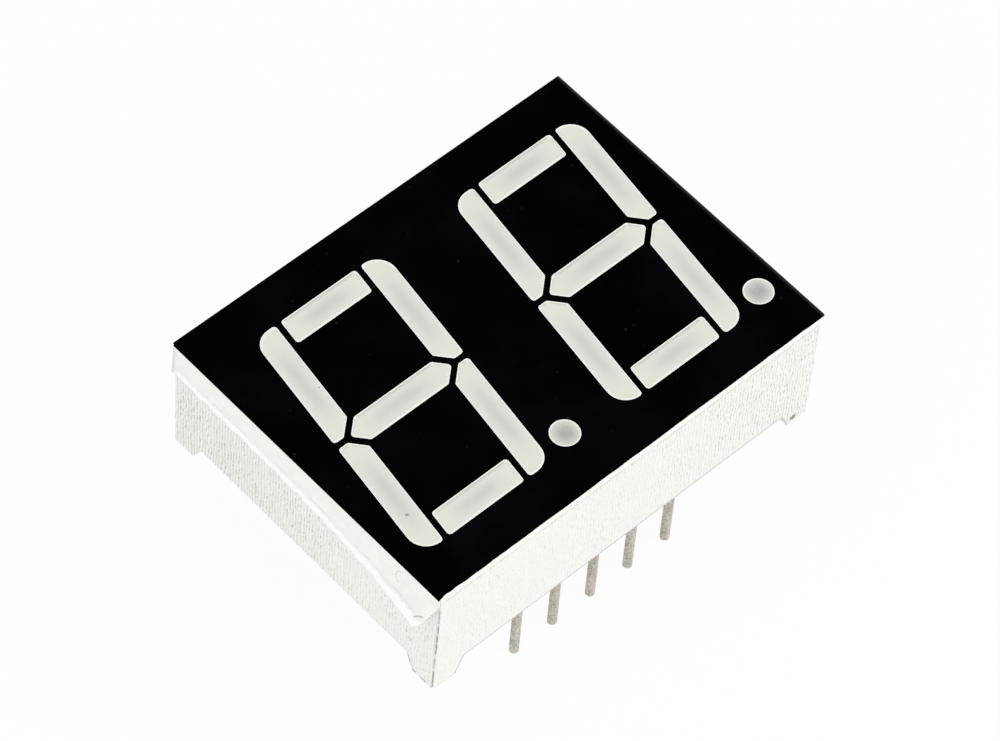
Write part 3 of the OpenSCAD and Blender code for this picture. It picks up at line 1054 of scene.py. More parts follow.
@dataclass(frozen=True)
class LaminateFinish:
    """Glass laminate with solder mask over its weave."""

    base: Colour = (0.035, 0.16, 0.055)
    weave: Colour = (0.055, 0.21, 0.08)
    roughness: float = 0.35

    def build(self, effects: EffectLibrary) -> bpy.types.Material:
        """Makes the material.

        Args:
            effects: The shared groups.

        Returns:
            The material.
        """
        s = Surface("solder_mask", self.roughness)
        t = s.tree
        weave = t.add("ShaderNodeTexWave", {"Scale": 2.0, "Distortion": 0.6})
        t.join(s.vector, weave.inputs["Vector"])
        threads = weave.outputs["Fac"]
        s.colour(t.blend(t.times(threads, effects.mottle(t, s.vector, scale=0.6)), self.base, self.weave))
        s.bump(threads, strength=0.1, depth_mm=0.01)
        return s.material


@dataclass(frozen=True)
class ChipFinish:
    """The cut crystal of a light-emitting chip."""

    base: Colour = (0.42, 0.27, 0.10)
    edge: Colour = (0.62, 0.45, 0.20)
    roughness: float = 0.2

    def build(self, effects: EffectLibrary) -> bpy.types.Material:
        """Makes the material.

        Args:
            effects: The shared groups.

        Returns:
            The material.
        """
        s = Surface("chip_crystal", self.roughness)
        s.colour(s.tree.blend(effects.mottle(s.tree, s.vector, scale=6.0), self.base, self.edge))
        return s.material


# Meshes


def mesh_object(name: str, points: list, faces: list, materials: list[bpy.types.Material],
                smooth: bool = False) -> bpy.types.Object:
    """Makes an object of a mesh.

    Args:
        name: The object's name.
        points: Its vertices, in metres.
        faces: Its faces, as vertex numbers.
        materials: Its material slots.
        smooth: Whether its faces are smooth.

    Returns:
        The object, in the scene.
    """
    mesh = bpy.data.meshes.new(name)
    mesh.from_pydata([tuple(p) for p in points], [], faces)
    mesh.validate()
    mesh.update()
    for polygon in mesh.polygons:
        polygon.use_smooth = smooth
    made = bpy.data.objects.new(name, mesh)
    bpy.context.scene.collection.objects.link(made)
    for material in materials:
        mesh.materials.append(material)
    return made


def settle_normals(made: bpy.types.Object) -> None:
    """Turns a closed mesh's faces outwards.

    Args:
        made: The object with the mesh.
    """
    work = bmesh.new()
    work.from_mesh(made.data)
    bmesh.ops.recalc_face_normals(work, faces=work.faces)
    work.to_mesh(made.data)
    work.free()


def show_layers(made: bpy.types.Object, layers: list[Layer]) -> None:
    """Gives each face of a film the material of its layer."""
    for polygon, layer in zip(made.data.polygons, layers):
        polygon.material_index = layer.value


def flatten(made: bpy.types.Object, first: int) -> None:
    """Shades the faces from a number on as flat ones."""
    for polygon in made.data.polygons[first:]:
        polygon.use_smooth = False


def store(made: bpy.types.Object, name: str, values: list[float]) -> None:
    """Stores a number on each vertex."""
    attribute = made.data.attributes.new(name, "FLOAT", "POINT")
    attribute.data.foreach_set("value", np.asarray(values, np.float32))


def outline_loops(node: str, height: float) -> list[list[Point2]]:
    """Finds the outlines of a node's flat top.

    Args:
        node: The CAD node.
        height: The top's height, in metres.

    Returns:
        Closed outlines with the material on their left, the longest first.
    """
    half_up = 0.5
    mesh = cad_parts[node].data
    mesh.calc_loop_triangles()
    edges: set[tuple] = set()
    places: dict[tuple, Point2] = {}
    for triangle in mesh.loop_triangles:
        corners = [mesh.vertices[i].co for i in triangle.vertices]
        if max(abs(c.z - height) for c in corners) > 2 * WELD or triangle.normal.z < half_up:
            continue
        keys = [(round(c.x / WELD), round(c.y / WELD)) for c in corners]
        for key, corner in zip(keys, corners):
            places.setdefault(key, (corner.x, corner.y))
        for a, b in zip(keys, keys[1:] + keys[:1]):
            if (b, a) in edges:
                edges.remove((b, a))
            else:
                edges.add((a, b))
    follow = dict(edges)
    loops = []
    while follow:
        start, key = follow.popitem()
        loop = [start]
        while key != start:
            loop.append(key)
            key = follow.pop(key)
        loops.append([places[k] for k in loop])
    return sorted(loops, key=lambda loop: -outline_length(loop))


def outline_length(loop: list[Point2]) -> float:
    """The length round an outline."""
    return sum(math.dist(a, b) for a, b in zip(loop, loop[1:] + loop[:1]))


def thinned(loop: list[Point2]) -> list[Point2]:
    """Drops points of an outline that lie next to the one before.

    Args:
        loop: A closed outline.

    Returns:
        The outline with the points that are left.
    """
    kept: list[Point2] = []
    for point in loop:
        if not kept or math.dist(point, kept[-1]) > SAME_POINT:
            kept.append(point)
    if math.dist(kept[0], kept[-1]) <= SAME_POINT:
        kept.pop()
    return kept


def resampled(loop: list[Point2], spacing: float) -> list[Point2]:
    """Adds points to an outline, so that none lie much further apart than a spacing.

    Args:
        loop: A closed outline.
        spacing: The spacing, in metres.

    Returns:
        The outline with its old and new points.
    """
    result: list[Point2] = []
    for a, b in zip(loop, loop[1:] + loop[:1]):
        steps = max(1, round(math.dist(a, b) / spacing))
        result += [(a[0] + (b[0] - a[0]) * i / steps, a[1] + (b[1] - a[1]) * i / steps) for i in range(steps)]
    return result


def moved_left(loop: list[Point2], distance: float) -> list[Point2]:
    """Moves an outline to its left by a distance.

    Args:
        loop: A closed outline.
        distance: How far, in metres; below 0 moves it to the right.

    Returns:
        The moved outline, point for point.
    """
    sharpest = 0.5
    result = []
    for before, here, after in zip(loop[-1:] + loop[:-1], loop, loop[1:] + loop[:1]):
        first = Vector(here) - Vector(before)
        second = Vector(after) - Vector(here)
        normals = [Vector((-v.y, v.x)).normalized() for v in (first, second)]
        middle = (normals[0] + normals[1]).normalized()
        reach = distance / max(middle.dot(normals[0]), sharpest)
        result.append((here[0] + middle.x * reach, here[1] + middle.y * reach))
    return result


def inside(points: np.ndarray, loop: list[Point2]) -> np.ndarray:
    """Finds the points inside an outline.

    Args:
        points: The points, one in each row.
        loop: A closed outline.

    Returns:
        True for each point that lies inside.
    """
    ring = np.array(loop)
    result = np.zeros(len(points), bool)
    for (ax, ay), (bx, by) in zip(ring, np.roll(ring, -1, axis=0)):
        crosses = (ay > points[:, 1]) != (by > points[:, 1])
        at = ax + (points[:, 1] - ay) * (bx - ax) / ((by - ay) or TINY)
        result ^= crosses & (points[:, 0] < at)
    return result


def edge_distance(points: np.ndarray, loop: list[Point2]) -> np.ndarray:
    """Measures how far points lie from an outline.

    Args:
        points: The points, one in each row.
        loop: A closed outline.

    Returns:
        The distance of each point, in metres.
    """
    ring = np.array(loop)
    best = np.full(len(points), np.inf)
    for a, b in zip(ring, np.roll(ring, -1, axis=0)):
        side = b - a
        along = np.clip(((points - a) @ side) / max(side @ side, TINY), 0, 1)
        best = np.minimum(best, np.linalg.norm(points - a - along[:, None] * side, axis=1))
    return best


def filled(loops: list[list[Point2]], extra: np.ndarray | None = None) -> tuple[list[Point2], list[tuple]]:
    """Fills the space between outlines with triangles.

    Args:
        loops: The outlines; a place inside an odd number of them is filled.
        extra: More points to use inside.

    Returns:
        The points, of which the outlines' come first in order, and the triangles.
    """
    whole_hull, same_mm = 0, 1e-7
    points: list[Point2] = []
    edges: list[tuple[int, int]] = []
    for loop in loops:
        first = len(points)
        points += loop
        edges += [(first + i, first + (i + 1) % len(loop)) for i in range(len(loop))]
    if extra is not None:
        points += [tuple(p) for p in extra]
    scaled = [Vector((x / MM, y / MM)) for x, y in points]
    made, _, faces, origins, _, _ = delaunay_2d_cdt(scaled, edges, [], whole_hull, same_mm)
    if len(made) != len(points):
        raise RuntimeError(f"outlines cross: {len(points)} points became {len(made)}")
    order = [source[0] for source in origins]
    centres = np.array([[sum(made[i][k] for i in f) / 3 * MM for k in (0, 1)] for f in faces])
    odd = np.zeros(len(faces), bool)
    for loop in loops:
        odd ^= inside(centres, loop)
    return points, [tuple(order[i] for i in f) for f, keep in zip(faces, odd) if keep]


def ripple(x: float, y: float, turns: float, seed: float) -> float:
    """Smooth noise over a plane.

    Args:
        x: The place's first number, in metres.
        y: The place's second number, in metres.
        turns: How fast the noise changes, in steps to a millimetre.
        seed: Which noise it is.

    Returns:
        A value between about -1 and 1.
    """
    return noise.noise((x / MM * turns, y / MM * turns, seed))


# Sub-assemblies


@dataclass
class FaceFilm:
    """The printed film on the face, with its windows and its sprung white tail."""

    effects: EffectLibrary
    print_finish: PrintFinish = field(default_factory=PrintFinish)
    bare_finish: BareFilmFinish = field(default_factory=BareFilmFinish)
    rim: float = 0.045 * MM
    dip: float = 0.008 * MM
    edge_step: float = 0.12 * MM
    print_in: float = 0.02 * MM
    print_far: float = 0.035 * MM
    worn_far: float = 0.12 * MM
    worn_width: float = 2.0 * MM
    worn_mean: float = 0.2
    worn_coarse: Pair = (0.7, 0.9)
    worn_fine: Pair = (0.5, 3.1)
    point_less: float = 0.055 * MM
    tail_short: float = 0.11 * MM
    at_edge: float = 0.01 * MM

    def __post_init__(self) -> None:
        """Reads the film's sizes from the frame."""
        self.low, self.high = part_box("face_film")
        self.top = self.high.z
        outlines = outline_loops("face_film", self.top)
        self.outer = thinned(outlines[0])
        self.windows = [self._window(thinned(loop)) for loop in outlines[1:]]
        self.left = min(x for x, _ in self.outer)
        self.thickness = self.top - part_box("housing")[1].z
        self.materials = [self.print_finish.build(self.effects, self.high.x / MM),
                          self.bare_finish.build(self.effects)]

    def _window(self, loop: list[Point2]) -> list[Point2]:
        """Lets the print overlap a round window a little.

        Args:
            loop: The window's outline in the CAD film.

        Returns:
            Its outline in the print.
        """
        if Window(loop).run is Run.POINT:
            return moved_left(loop, -self.point_less)
        return loop

    def build(self) -> bpy.types.Object:
        """Builds the plate and the tail as one piece that stands for the CAD film.

        Returns:
            The film.
        """
        plate = self._plate()
        tail = self._tail()
        plate.data.name = "face_film_mesh"
        with bpy.context.temp_override(active_object=plate, selected_editable_objects=[plate, tail]):
            bpy.ops.object.join()
        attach(plate, ROOT)
        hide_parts("face_film")
        return plate

    def _plate(self) -> bpy.types.Object:
        """Builds the flat part: a top with soft edges at its windows, cut sides and an underside.

        Returns:
            The plate.
        """
        fold = self.left + self.thickness
        outer = [(max(x, fold), y) for x, y in self.outer]
        outer = resampled(thinned(outer), self.edge_step)
        at_front = [y < self.low.y + self.at_edge and x > fold + self.at_edge for x, y in outer]
        loops = [outer] + self.windows
        inner = [self._print_edge(outer, at_front)] + [moved_left(loop, self.rim) for loop in self.windows]
        points2, triangles = filled(inner)
        count = len(points2)
        points = [(x, y, self.top) for x, y in points2]
        flat = [p for loop in loops for p in loop]
        points += [(x, y, self.top - self.dip) for x, y in flat]
        points += [(x, y, self.top - self.thickness) for x, y in flat]
        faces = list(triangles)
        layers = [Layer.PRINT] * len(triangles)
        first = 0
        for number, loop in enumerate(loops):
            n = len(loop)
            for ring in (0, 1):
                for i in range(n):
                    a, b = first + i, first + (i + 1) % n
                    faces.append((a + ring * count, a + (ring + 1) * count, b + (ring + 1) * count,
                                  b + ring * count))
                    printed = number == 0 and not (at_front[i] or at_front[(i + 1) % n])
                    layers.append(Layer.PRINT if printed else Layer.BARE)
            first += n
        _, under = filled(loops)
        faces += [tuple(i + 2 * count for i in reversed(f)) for f in under]
        layers += [Layer.BARE] * len(under)
        made = mesh_object("film", points, faces, self.materials)
        show_layers(made, layers)
        store(made, "ridge", [0.0] * len(points))
        settle_normals(made)
        return made

    def _print_edge(self, outer: list[Point2], at_front: list[bool]) -> list[Point2]:
        """The edge of the print: uneven along the front, and worn most at its left end.

        Args:
            outer: The outline of the plate.
            at_front: Which of its points lie on the front edge.

        Returns:
            The print's edge, point for point.
        """
        coarse_most, coarse_turns = self.worn_coarse
        fine_most, fine_turns = self.worn_fine
        result = []
        near = moved_left(outer, self.print_in)
        far = moved_left(outer, MM)
        for (x, y), a, b, front in zip(outer, near, far, at_front):
            coarse = coarse_most * ripple(x, y, coarse_turns, seed=5.0)
            fine = fine_most * ripple(x, y, fine_turns, seed=8.0)
            worn = max(0.0, 1 - (x - self.left) / self.worn_width)
            most = self.print_far + (self.worn_far - self.print_far) * worn
            share = min(max(self.worn_mean + coarse + fine, 0.0), 1.0) * most / MM if front else 0.0
            result.append((a[0] + (b[0] - a[0]) * share, a[1] + (b[1] - a[1]) * share))
        return result

    def _tail(self) -> bpy.types.Object:
        """Builds the white tail, dressed like the plate.

        Returns:
            The tail.
        """
        back = self.high.y - self.tail_short
        tail = FilmTail(self.left, self.top, self.thickness, self.low.y, back)
        made, layers = tail.build(self.materials)
        show_layers(made, layers)
        settle_normals(made)
        return made


@dataclass
class FilmTail:
    """The strip that is folded down over the wall and opens more and more towards its front end."""

    left: float
    top: float
    thickness: float
    front: float
    back: float
    rows: int = 96
    fold_steps: int = 8
    flat_steps: int = 8
    bend_steps: int = 8
    open_steps: int = 22
    bend_reach: float = 0.22 * MM
    print_steps: int = 6
    bunched: float = 1.35
    tip_r: float = 0.30 * MM
    lip: float = 0.10 * MM
    lip_start: float = 0.80
    ridge_start: float = 0.66
    lump_mean: float = 0.6
    lump_least: float = 0.15
    lumps: float = 1.4
    lump_turns: float = 1.7
    slack: float = 0.035 * MM
    slack_turns: float = 0.55
    fine_share: float = 0.3
    fine_turns: Pair = (3.0, 2.2)
    opens_at: float = 3.0
    row_search: float = 0.02 * MM
    inner_share: float = 0.92
    nose_share: float = 0.07

    def __post_init__(self) -> None:
        """Reads the line where the tail starts to open, and its free edge, from the frame."""
        below = self.top - 2 * self.thickness
        points = [v.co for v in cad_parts["face_film"].data.vertices if v.co.z < below]
        self.bend = max(p.z for p in points)
        halfway = (self.bend + min(p.z for p in points)) / 2
        edge: dict[int, Vector] = {}
        for p in points:
            key = round(p.y / self.row_search)
            if p.z < halfway and (key not in edge or p.x < edge[key].x):
                edge[key] = p.copy()
        self.edge = np.array([edge[key] for key in sorted(edge, reverse=True)])

    def free_edge(self, t: float) -> np.ndarray:
        """Finds a place on the free edge.

        Args:
            t: Where it is, from the tail's back end (0) to its front end (1).

        Returns:
            The place.
        """
        at = t * (len(self.edge) - 1)
        steps = np.arange(len(self.edge))
        return np.array([np.interp(at, steps, self.edge[:, axis]) for axis in range(3)])

    def path(self, t: float) -> np.ndarray:
        """The outer side of one section, from the edge of the face to the free edge.

        Args:
            t: Where the section is, from the back end (0) to the front end (1).

        Returns:
            Its points, with their own y, because the free corner is cut back.
        """
        y = self.back + (self.front - self.back) * t
        corner = np.array([self.left, y, self.bend])
        end = self.free_edge(t)
        length = np.linalg.norm(end - corner)
        away = (end - corner) / length
        spread = float(np.clip(-away[0] * self.opens_at, 0, 1))
        inward = np.array([-away[2], 0.0, away[0]])
        end = end + inward * self.lip * spread - away * self._cut_back(t)
        above = corner + np.array([0, 0, self.bend_reach])
        below = corner + (end - corner) * self.bend_reach / length
        points = self._fold(y)
        start = points[-1]
        for i in range(1, self.flat_steps + 1):
            points.append(start + (above - start) * i / self.flat_steps)
        for i in range(1, self.bend_steps + 1):
            u = i / self.bend_steps
            points.append((1 - u) ** 2 * above + 2 * u * (1 - u) * corner + u * u * below)
        return np.array(points + self._opened(y, below, end, inward, spread))

    def _cut_back(self, t: float) -> float:
        """Works out how far the free edge is cut back by the rounded tip.

        Args:
            t: Where the section is, from 0 to 1.

        Returns:
            The length that is cut off, in metres.
        """
        beyond = min(max(self.tip_r - (1 - t) * (self.back - self.front), 0.0), self.tip_r)
        return self.tip_r - math.sqrt(self.tip_r ** 2 - beyond ** 2)

    def _fold(self, y: float) -> list[np.ndarray]:
        """Turns the film over the edge of the face.

        Args:
            y: Where the section is, in metres.

        Returns:
            The points of the quarter turn.
        """
        r = self.thickness
        turns = [math.pi / 2 * i / self.fold_steps for i in range(self.fold_steps + 1)]
        return [np.array([self.left + r - r * math.sin(a), y, self.top - r + r * math.cos(a)]) for a in turns]

    def _opened(self, y: float, below: np.ndarray, end: np.ndarray, inward: np.ndarray,
                spread: float) -> list[np.ndarray]:
        """Leads the film from the bend to its free edge, with slack, a lumpy ridge and a fine unevenness.

        Args:
            y: Where the section is, in metres.
            below: The end of the bend.
            end: The free edge.
            inward: The direction towards the wall, square to the film.
            spread: How far the tail is open here, from 0 to 1.

        Returns:
            The points.
        """
        wave = self.slack * ripple(0.0, y, self.slack_turns, seed=3.0) * spread
        lump = self.lump_mean + self.lumps * ripple(0.0, y, self.lump_turns, seed=6.0)
        ridge = self.lip * min(max(lump, self.lump_least), 1.0)
        along, across = self.fine_turns
        points = []
        for i in range(1, self.open_steps + 1):
            u = i / self.open_steps
            rise = ridge * max(0.0, (u - self.lip_start) / (1 - self.lip_start)) ** 2
            fine = self.fine_share * self.slack * noise.noise((u * along, y / MM * across, 9.0)) * u
            bow = wave * math.sin(math.pi * u)
            points.append(below + (end - below) * u - inward * (rise + bow * spread + max(fine, 0)))
        return points

    def section(self, t: float) -> tuple[np.ndarray, np.ndarray]:
        """One whole section: the outer side, a round nose and the inner side back to the face.

        Args:
            t: Where the section is, from 0 to 1.

        Returns:
            Its points, and how far each is along the tail from 0 to 1.
        """
        outer = self.path(t)
        ahead = np.gradient(outer[:, [0, 2]], axis=0)
        ahead /= np.linalg.norm(ahead, axis=1)[:, None]
        inward = np.stack([-ahead[:, 1], np.zeros(len(ahead)), ahead[:, 0]], axis=1)
        inner = outer + inward * self.thickness * self.inner_share
        nose = (outer[-1] + inner[-1]) / 2
        nose[[0, 2]] += ahead[-1] * self.nose_share * self.thickness
        steps = np.linalg.norm(np.diff(outer, axis=0), axis=1)
        share = np.concatenate([[0], np.cumsum(steps)]) / steps.sum()
        return np.vstack([outer, nose, inner[::-1]]), np.concatenate([share, [1.0], share[::-1]])

    def build(self, materials: list[bpy.types.Material]) -> tuple[bpy.types.Object, list[Layer]]:
        """Builds the strip.

        Args:
            materials: The film's material slots.

        Returns:
            The strip, and the layer that each of its faces shows.
        """
        points: list[np.ndarray] = []
        ridge: list[float] = []
        for row in range(self.rows + 1):
            section, share = self.section(1 - (1 - row / self.rows) ** self.bunched)
            points += list(section)
            ridge += [float(np.clip((s - self.ridge_start) / (1 - self.ridge_start), 0, 1)) for s in share]
        n = len(points) // (self.rows + 1)
        faces = []
        layers = []
        for row in range(self.rows):
            for i in range(n):
                j = (i + 1) % n
                faces.append((row * n + i, row * n + j, (row + 1) * n + j, (row + 1) * n + i))
                layers.append(Layer.PRINT if i < self.print_steps else Layer.BARE)
        half = n // 2
        for start in (0, self.rows * n):
            last = start + n - 1
            faces += [(start + i, start + i + 1, last - 1 - i, last - i) for i in range(half - 1)]
            faces.append((start + half - 1, start + half, start + half + 1))
            layers += [Layer.BARE] * half
        made = mesh_object("film_tail", points, faces, materials, smooth=True)
        flatten(made, self.rows * n)
        store(made, "ridge", ridge)
        return made, layers


@dataclass
class Window:
    """One window of the film, with what its place says about it."""

    loop: list[Point2]
    round_enough: float = 0.1 * MM
    middle_share: float = 0.2

    def __post_init__(self) -> None:
        """Works out the window's middle, direction and half sizes."""
        points = np.array(self.loop)
        self.centre = (points.min(0) + points.max(0)) / 2
        extent = points.max(0) - points.min(0)
        self.run = Run.LEVEL if extent[0] > extent[1] else Run.UPRIGHT
        if abs(extent[0] - extent[1]) < self.round_enough:
            self.run = Run.POINT
        direction = np.array([1.0, 0.0])
        if self.run is Run.UPRIGHT:
            middle = extent[1] * self.middle_share
            upper = points[points[:, 1] > self.centre[1] + middle]
            lower = points[points[:, 1] < self.centre[1] - middle]
            lean = (upper.min(0)[0] + upper.max(0)[0] - lower.min(0)[0] - lower.max(0)[0]) / 2
            direction = np.array([lean, upper[:, 1].mean() - lower[:, 1].mean()])
        self.direction = direction / np.linalg.norm(direction)
        self.side = np.array([-self.direction[1], self.direction[0]])
        spread = points - self.centre
        self.half = (np.abs(spread @ self.direction).max(), np.abs(spread @ self.side).max())


@dataclass
class SegmentWindows:
    """The resin that shows in the film's windows, one shallow cap for each."""

    effects: EffectLibrary
    windows: list[list[Point2]]
    finish: ResinFinish = field(default_factory=ResinFinish)
    point_finish: ResinFinish = ResinFinish(chip_and_shadow=(0.37, 0.37, 0.355), rim_w=0.035)
    bar_chip_and_shadow: float = 0.85
    point_chip_and_shadow: float = 1.2
    point_reach: float = 1.45
    cling: float = 0.003 * MM
    fall: float = 0.05 * MM
    base_gap: float = 0.002 * MM
    spacing: float = 0.11 * MM
    rings: tuple[float, ...] = (0.03 * MM, 0.065 * MM)
    ring_clear: float = 0.4

    def named(self) -> dict[str, Window]:
        """Names each window after its digit and segment.

        Returns:
            The windows by name, such as 1a or 2dp.
        """
        found: dict[str, Window] = {}
        for digit, keep in (("1", lambda w: w.centre[0] < 0), ("2", lambda w: w.centre[0] >= 0)):
            mine = [w for w in (Window(loop) for loop in self.windows) if keep(w)]
            level = sorted((w for w in mine if w.run is Run.LEVEL), key=lambda w: w.centre[1])
            upright = sorted((w for w in mine if w.run is Run.UPRIGHT), key=lambda w: w.centre[1])
            lower = sorted(upright[:2], key=lambda w: w.centre[0])
            upper = sorted(upright[2:], key=lambda w: w.centre[0])
            point = [w for w in mine if w.run is Run.POINT]
            order = dict(zip(("d", "g", "a", "e", "c", "f", "b", "dp"), level + lower + upper + point))
            found |= {digit + name: window for name, window in order.items()}
        return found

    def build(self) -> list[bpy.types.Object]:
        """Builds a cap in each window.

        Returns:
            The caps.
        """
        bar = self.finish.build(self.effects, "segment_resin", self.bar_chip_and_shadow)
        point = self.point_finish.build(self.effects, "point_resin", self.point_chip_and_shadow, self.point_reach)
        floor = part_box("resin_fill")[1].z
        made = []
        for name, window in sorted(self.named().items()):
            cap = self._cap(name, window, floor, point if window.run is Run.POINT else bar)
            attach(cap, ROOT)
            made.append(cap)
        return made

    def _cap(self, name: str, window: Window, floor: float, material: bpy.types.Material) -> bpy.types.Object:
        """Builds one cap: a thin closed sheet whose edge climbs the film a little.

        Args:
            name: The window's name.
            window: The window.
            floor: The height of the resin's own flat top, in metres.
            material: Its finish.

        Returns:
            The cap.
        """
        loop = window.loop
        points2, triangles = filled([loop], self._inner_points(loop))
        flat = np.array(points2)
        edge = edge_distance(flat, loop)
        heights = floor + self.base_gap + self.cling * np.exp(-edge / self.fall)
        wave = [self.base_gap * ripple(x, y, 1.0, seed=7.0) for x, y in points2]
        count = len(points2)
        n = len(loop)
        points = [(x, y, h + w) for (x, y), h, w in zip(points2, heights, wave)]
        points += [(x, y, floor - self.base_gap) for x, y in loop]
        faces = list(triangles)
        for i in range(n):
            j = (i + 1) % n
            faces.append((i, count + i, count + j, j))
        faces.append(tuple(range(count, count + n)))
        made = mesh_object(f"segment_{name}", points, faces, [material], smooth=True)
        flatten(made, len(triangles))
        spread = np.vstack([flat, np.array(loop)]) - window.centre
        store(made, "along", list(spread @ window.direction / window.half[0]))
        store(made, "across", list(spread @ window.side / window.half[1]))
        store(made, "edge_mm", list(edge / MM) + [0.0] * n)
        settle_normals(made)
        return made

    def _inner_points(self, loop: list[Point2]) -> np.ndarray:
        """Chooses the points inside a window: rings near its edge, and a staggered grid within them.

        Args:
            loop: The window's outline.

        Returns:
            The points, one in each row.
        """
        rings = [moved_left(loop, -reach) for reach in self.rings]
        low = np.array(loop).min(0)
        high = np.array(loop).max(0)
        xs = np.arange(low[0], high[0], self.spacing)
        ys = np.arange(low[1], high[1], self.spacing)
        grid = np.array([(x + (row % 2) * self.spacing / 2, y) for row, y in enumerate(ys) for x in xs])
        grid = grid[inside(grid, loop)]
        grid = grid[edge_distance(grid, loop) > self.rings[-1] + self.spacing * self.ring_clear]
        return np.array([p for ring in rings for p in ring] + [tuple(p) for p in grid])


@dataclass
class ResinBack:
    """The open back of the casting, drawn up a little at the walls and the pins."""

    effects: EffectLibrary
    pins: list[Point2]
    pin_radius: float
    finish: BackResinFinish = field(default_factory=BackResinFinish)
    spacing: float = 0.16 * MM
    wall_climb: float = 0.03 * MM
    wall_fall: float = 0.28 * MM
    pin_climb: float = 0.20 * MM
    pin_fall: float = 0.16 * MM
    wave: float = 0.018 * MM
    wave_turns: float = 0.35
    depth: float = 0.02 * MM
    wall_gap: float = 0.002 * MM
    at_back: float = 0.01 * MM

    def __post_init__(self) -> None:
        """Reads the height of the resin's own flat back."""
        self.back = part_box("resin_fill")[0].z

    def build(self) -> bpy.types.Object:
        """Builds the back as a thin closed sheet over the resin's own flat back.

        Returns:
            The sheet.
        """
        x0, x1 = self._pocket(0)
        y0, y1 = self._pocket(1)
        columns = math.ceil((x1 - x0) / self.spacing)
        rows = math.ceil((y1 - y0) / self.spacing)
        points = []
        for row in range(rows + 1):
            y = y0 + (y1 - y0) * row / rows
            for column in range(columns + 1):
                x = x0 + (x1 - x0) * column / columns
                wall = min(x - x0, x1 - x, y - y0, y1 - y)
                points.append((x, y, self.back - self._drop(x, y, wall)))
        width = columns + 1
        count = len(points)
        first_corners = [row * width + column for row in range(rows) for column in range(columns)]
        faces = [(a, a + width, a + width + 1, a + 1) for a in first_corners]
        rim = self._rim(rows, columns)
        points += [(points[i][0], points[i][1], self.back + self.depth) for i in rim]
        n = len(rim)
        for i in range(n):
            j = (i + 1) % n
            faces.append((rim[i], rim[j], count + j, count + i))
        faces.append(tuple(range(count, count + n)))
        made = mesh_object("resin_back", points, faces, [self.finish.build(self.effects)], smooth=True)
        flatten(made, rows * columns)
        settle_normals(made)
        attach(made, ROOT)
        return made

    def _drop(self, x: float, y: float, wall: float) -> float:
        """Works out how far the sheet stands below the resin's flat back.

        Args:
            x: The place along the row of digits, in metres.
            y: The place across it.
            wall: How far the nearest wall is.

        Returns:
            The drop, in metres.
        """
        pin = min(math.dist((x, y), p) for p in self.pins) - self.pin_radius
        drop = self.wall_climb * math.exp(-wall / self.wall_fall)
        drop += self.pin_climb * math.exp(-max(pin, 0.0) / self.pin_fall)
        return drop + self.wave * (1 + ripple(x, y, self.wave_turns, seed=1.0))

    @staticmethod
    def _rim(rows: int, columns: int) -> list[int]:
        """Numbers the points round the edge of a grid.

        Args:
            rows: How many rows of faces it has.
            columns: How many columns of faces it has.

        Returns:
            The numbers of its outer points, in order.
        """
        width = columns + 1
        rim = list(range(width))
        rim += [row * width + columns for row in range(1, rows + 1)]
        rim += [rows * width + column for column in range(columns - 1, -1, -1)]
        rim += [row * width for row in range(rows - 1, 0, -1)]
        return rim

    def _pocket(self, axis: int) -> tuple[float, float]:
        """Finds the pocket's sides from the resin, where it meets the walls.

        Args:
            axis: The axis to look along, 0 or 1.

        Returns:
            The places of the two sides, in metres.
        """
        highest = self.back + self.at_back
        values = [v.co[axis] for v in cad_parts["resin_fill"].data.vertices if v.co.z < highest]
        return min(values) + self.wall_gap, max(values) - self.wall_gap


@dataclass
class Housing:
    """The white moulding, which keeps its own mesh."""

    effects: EffectLibrary
    finish: HousingFinish = field(default_factory=HousingFinish)
    same_mm: float = 0.01
    sole_mm: float = 0.2
    band_mm: Pair = (1.0, 0.05)
    corner_above_mm: float = 1.0
    foot_mm: float = 1.5

    def dress(self) -> bpy.types.Object:
        """Gives the housing its finish.

        Returns:
            The housing.
        """
        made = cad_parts["housing"]
        paint(made, self.finish.build(self.effects, self._shape(made)))
        return made

    def _shape(self, made: bpy.types.Object) -> HousingShape:
        """Reads the moulding's sizes from its corners.

        Args:
            made: The housing.

        Returns:
            Its sizes, in millimetres.
        """
        points = [v.co / MM for v in made.data.vertices]
        heights = sorted({round(p.z, 3) for p in points})
        half_w = max(p.x for p in points)
        half_d = max(p.y for p in points)
        lowest, highest = (heights[-1] - below for below in self.band_mm)
        steps = [h for h in heights if lowest < h < highest]
        rim = min(h for h in heights if h > self.sole_mm)
        on_front = [p for p in points if p.y < self.same_mm - half_d]
        on_rim = [p for p in on_front if abs(p.z - rim) < self.same_mm]
        return HousingShape(
            half_w=half_w, half_d=half_d, rim=rim, band_low=steps[-1], groove_low=steps[0],
            corner=half_w - max(p.x for p in on_front if p.z > rim + self.corner_above_mm),
            open_x=max(p.x for p in on_rim if p.x < half_w - self.foot_mm),
            foot_x=min(p.x for p in on_front if abs(p.z) < self.same_mm and p.x > 0))


def paint(made: bpy.types.Object, material: bpy.types.Material) -> None:
    """Puts one material in each of an object's slots.

    Args:
        made: The object.
        material: The material.
    """
    if not made.data.materials:
        made.data.materials.append(material)
    for slot in made.material_slots:
        slot.material = material


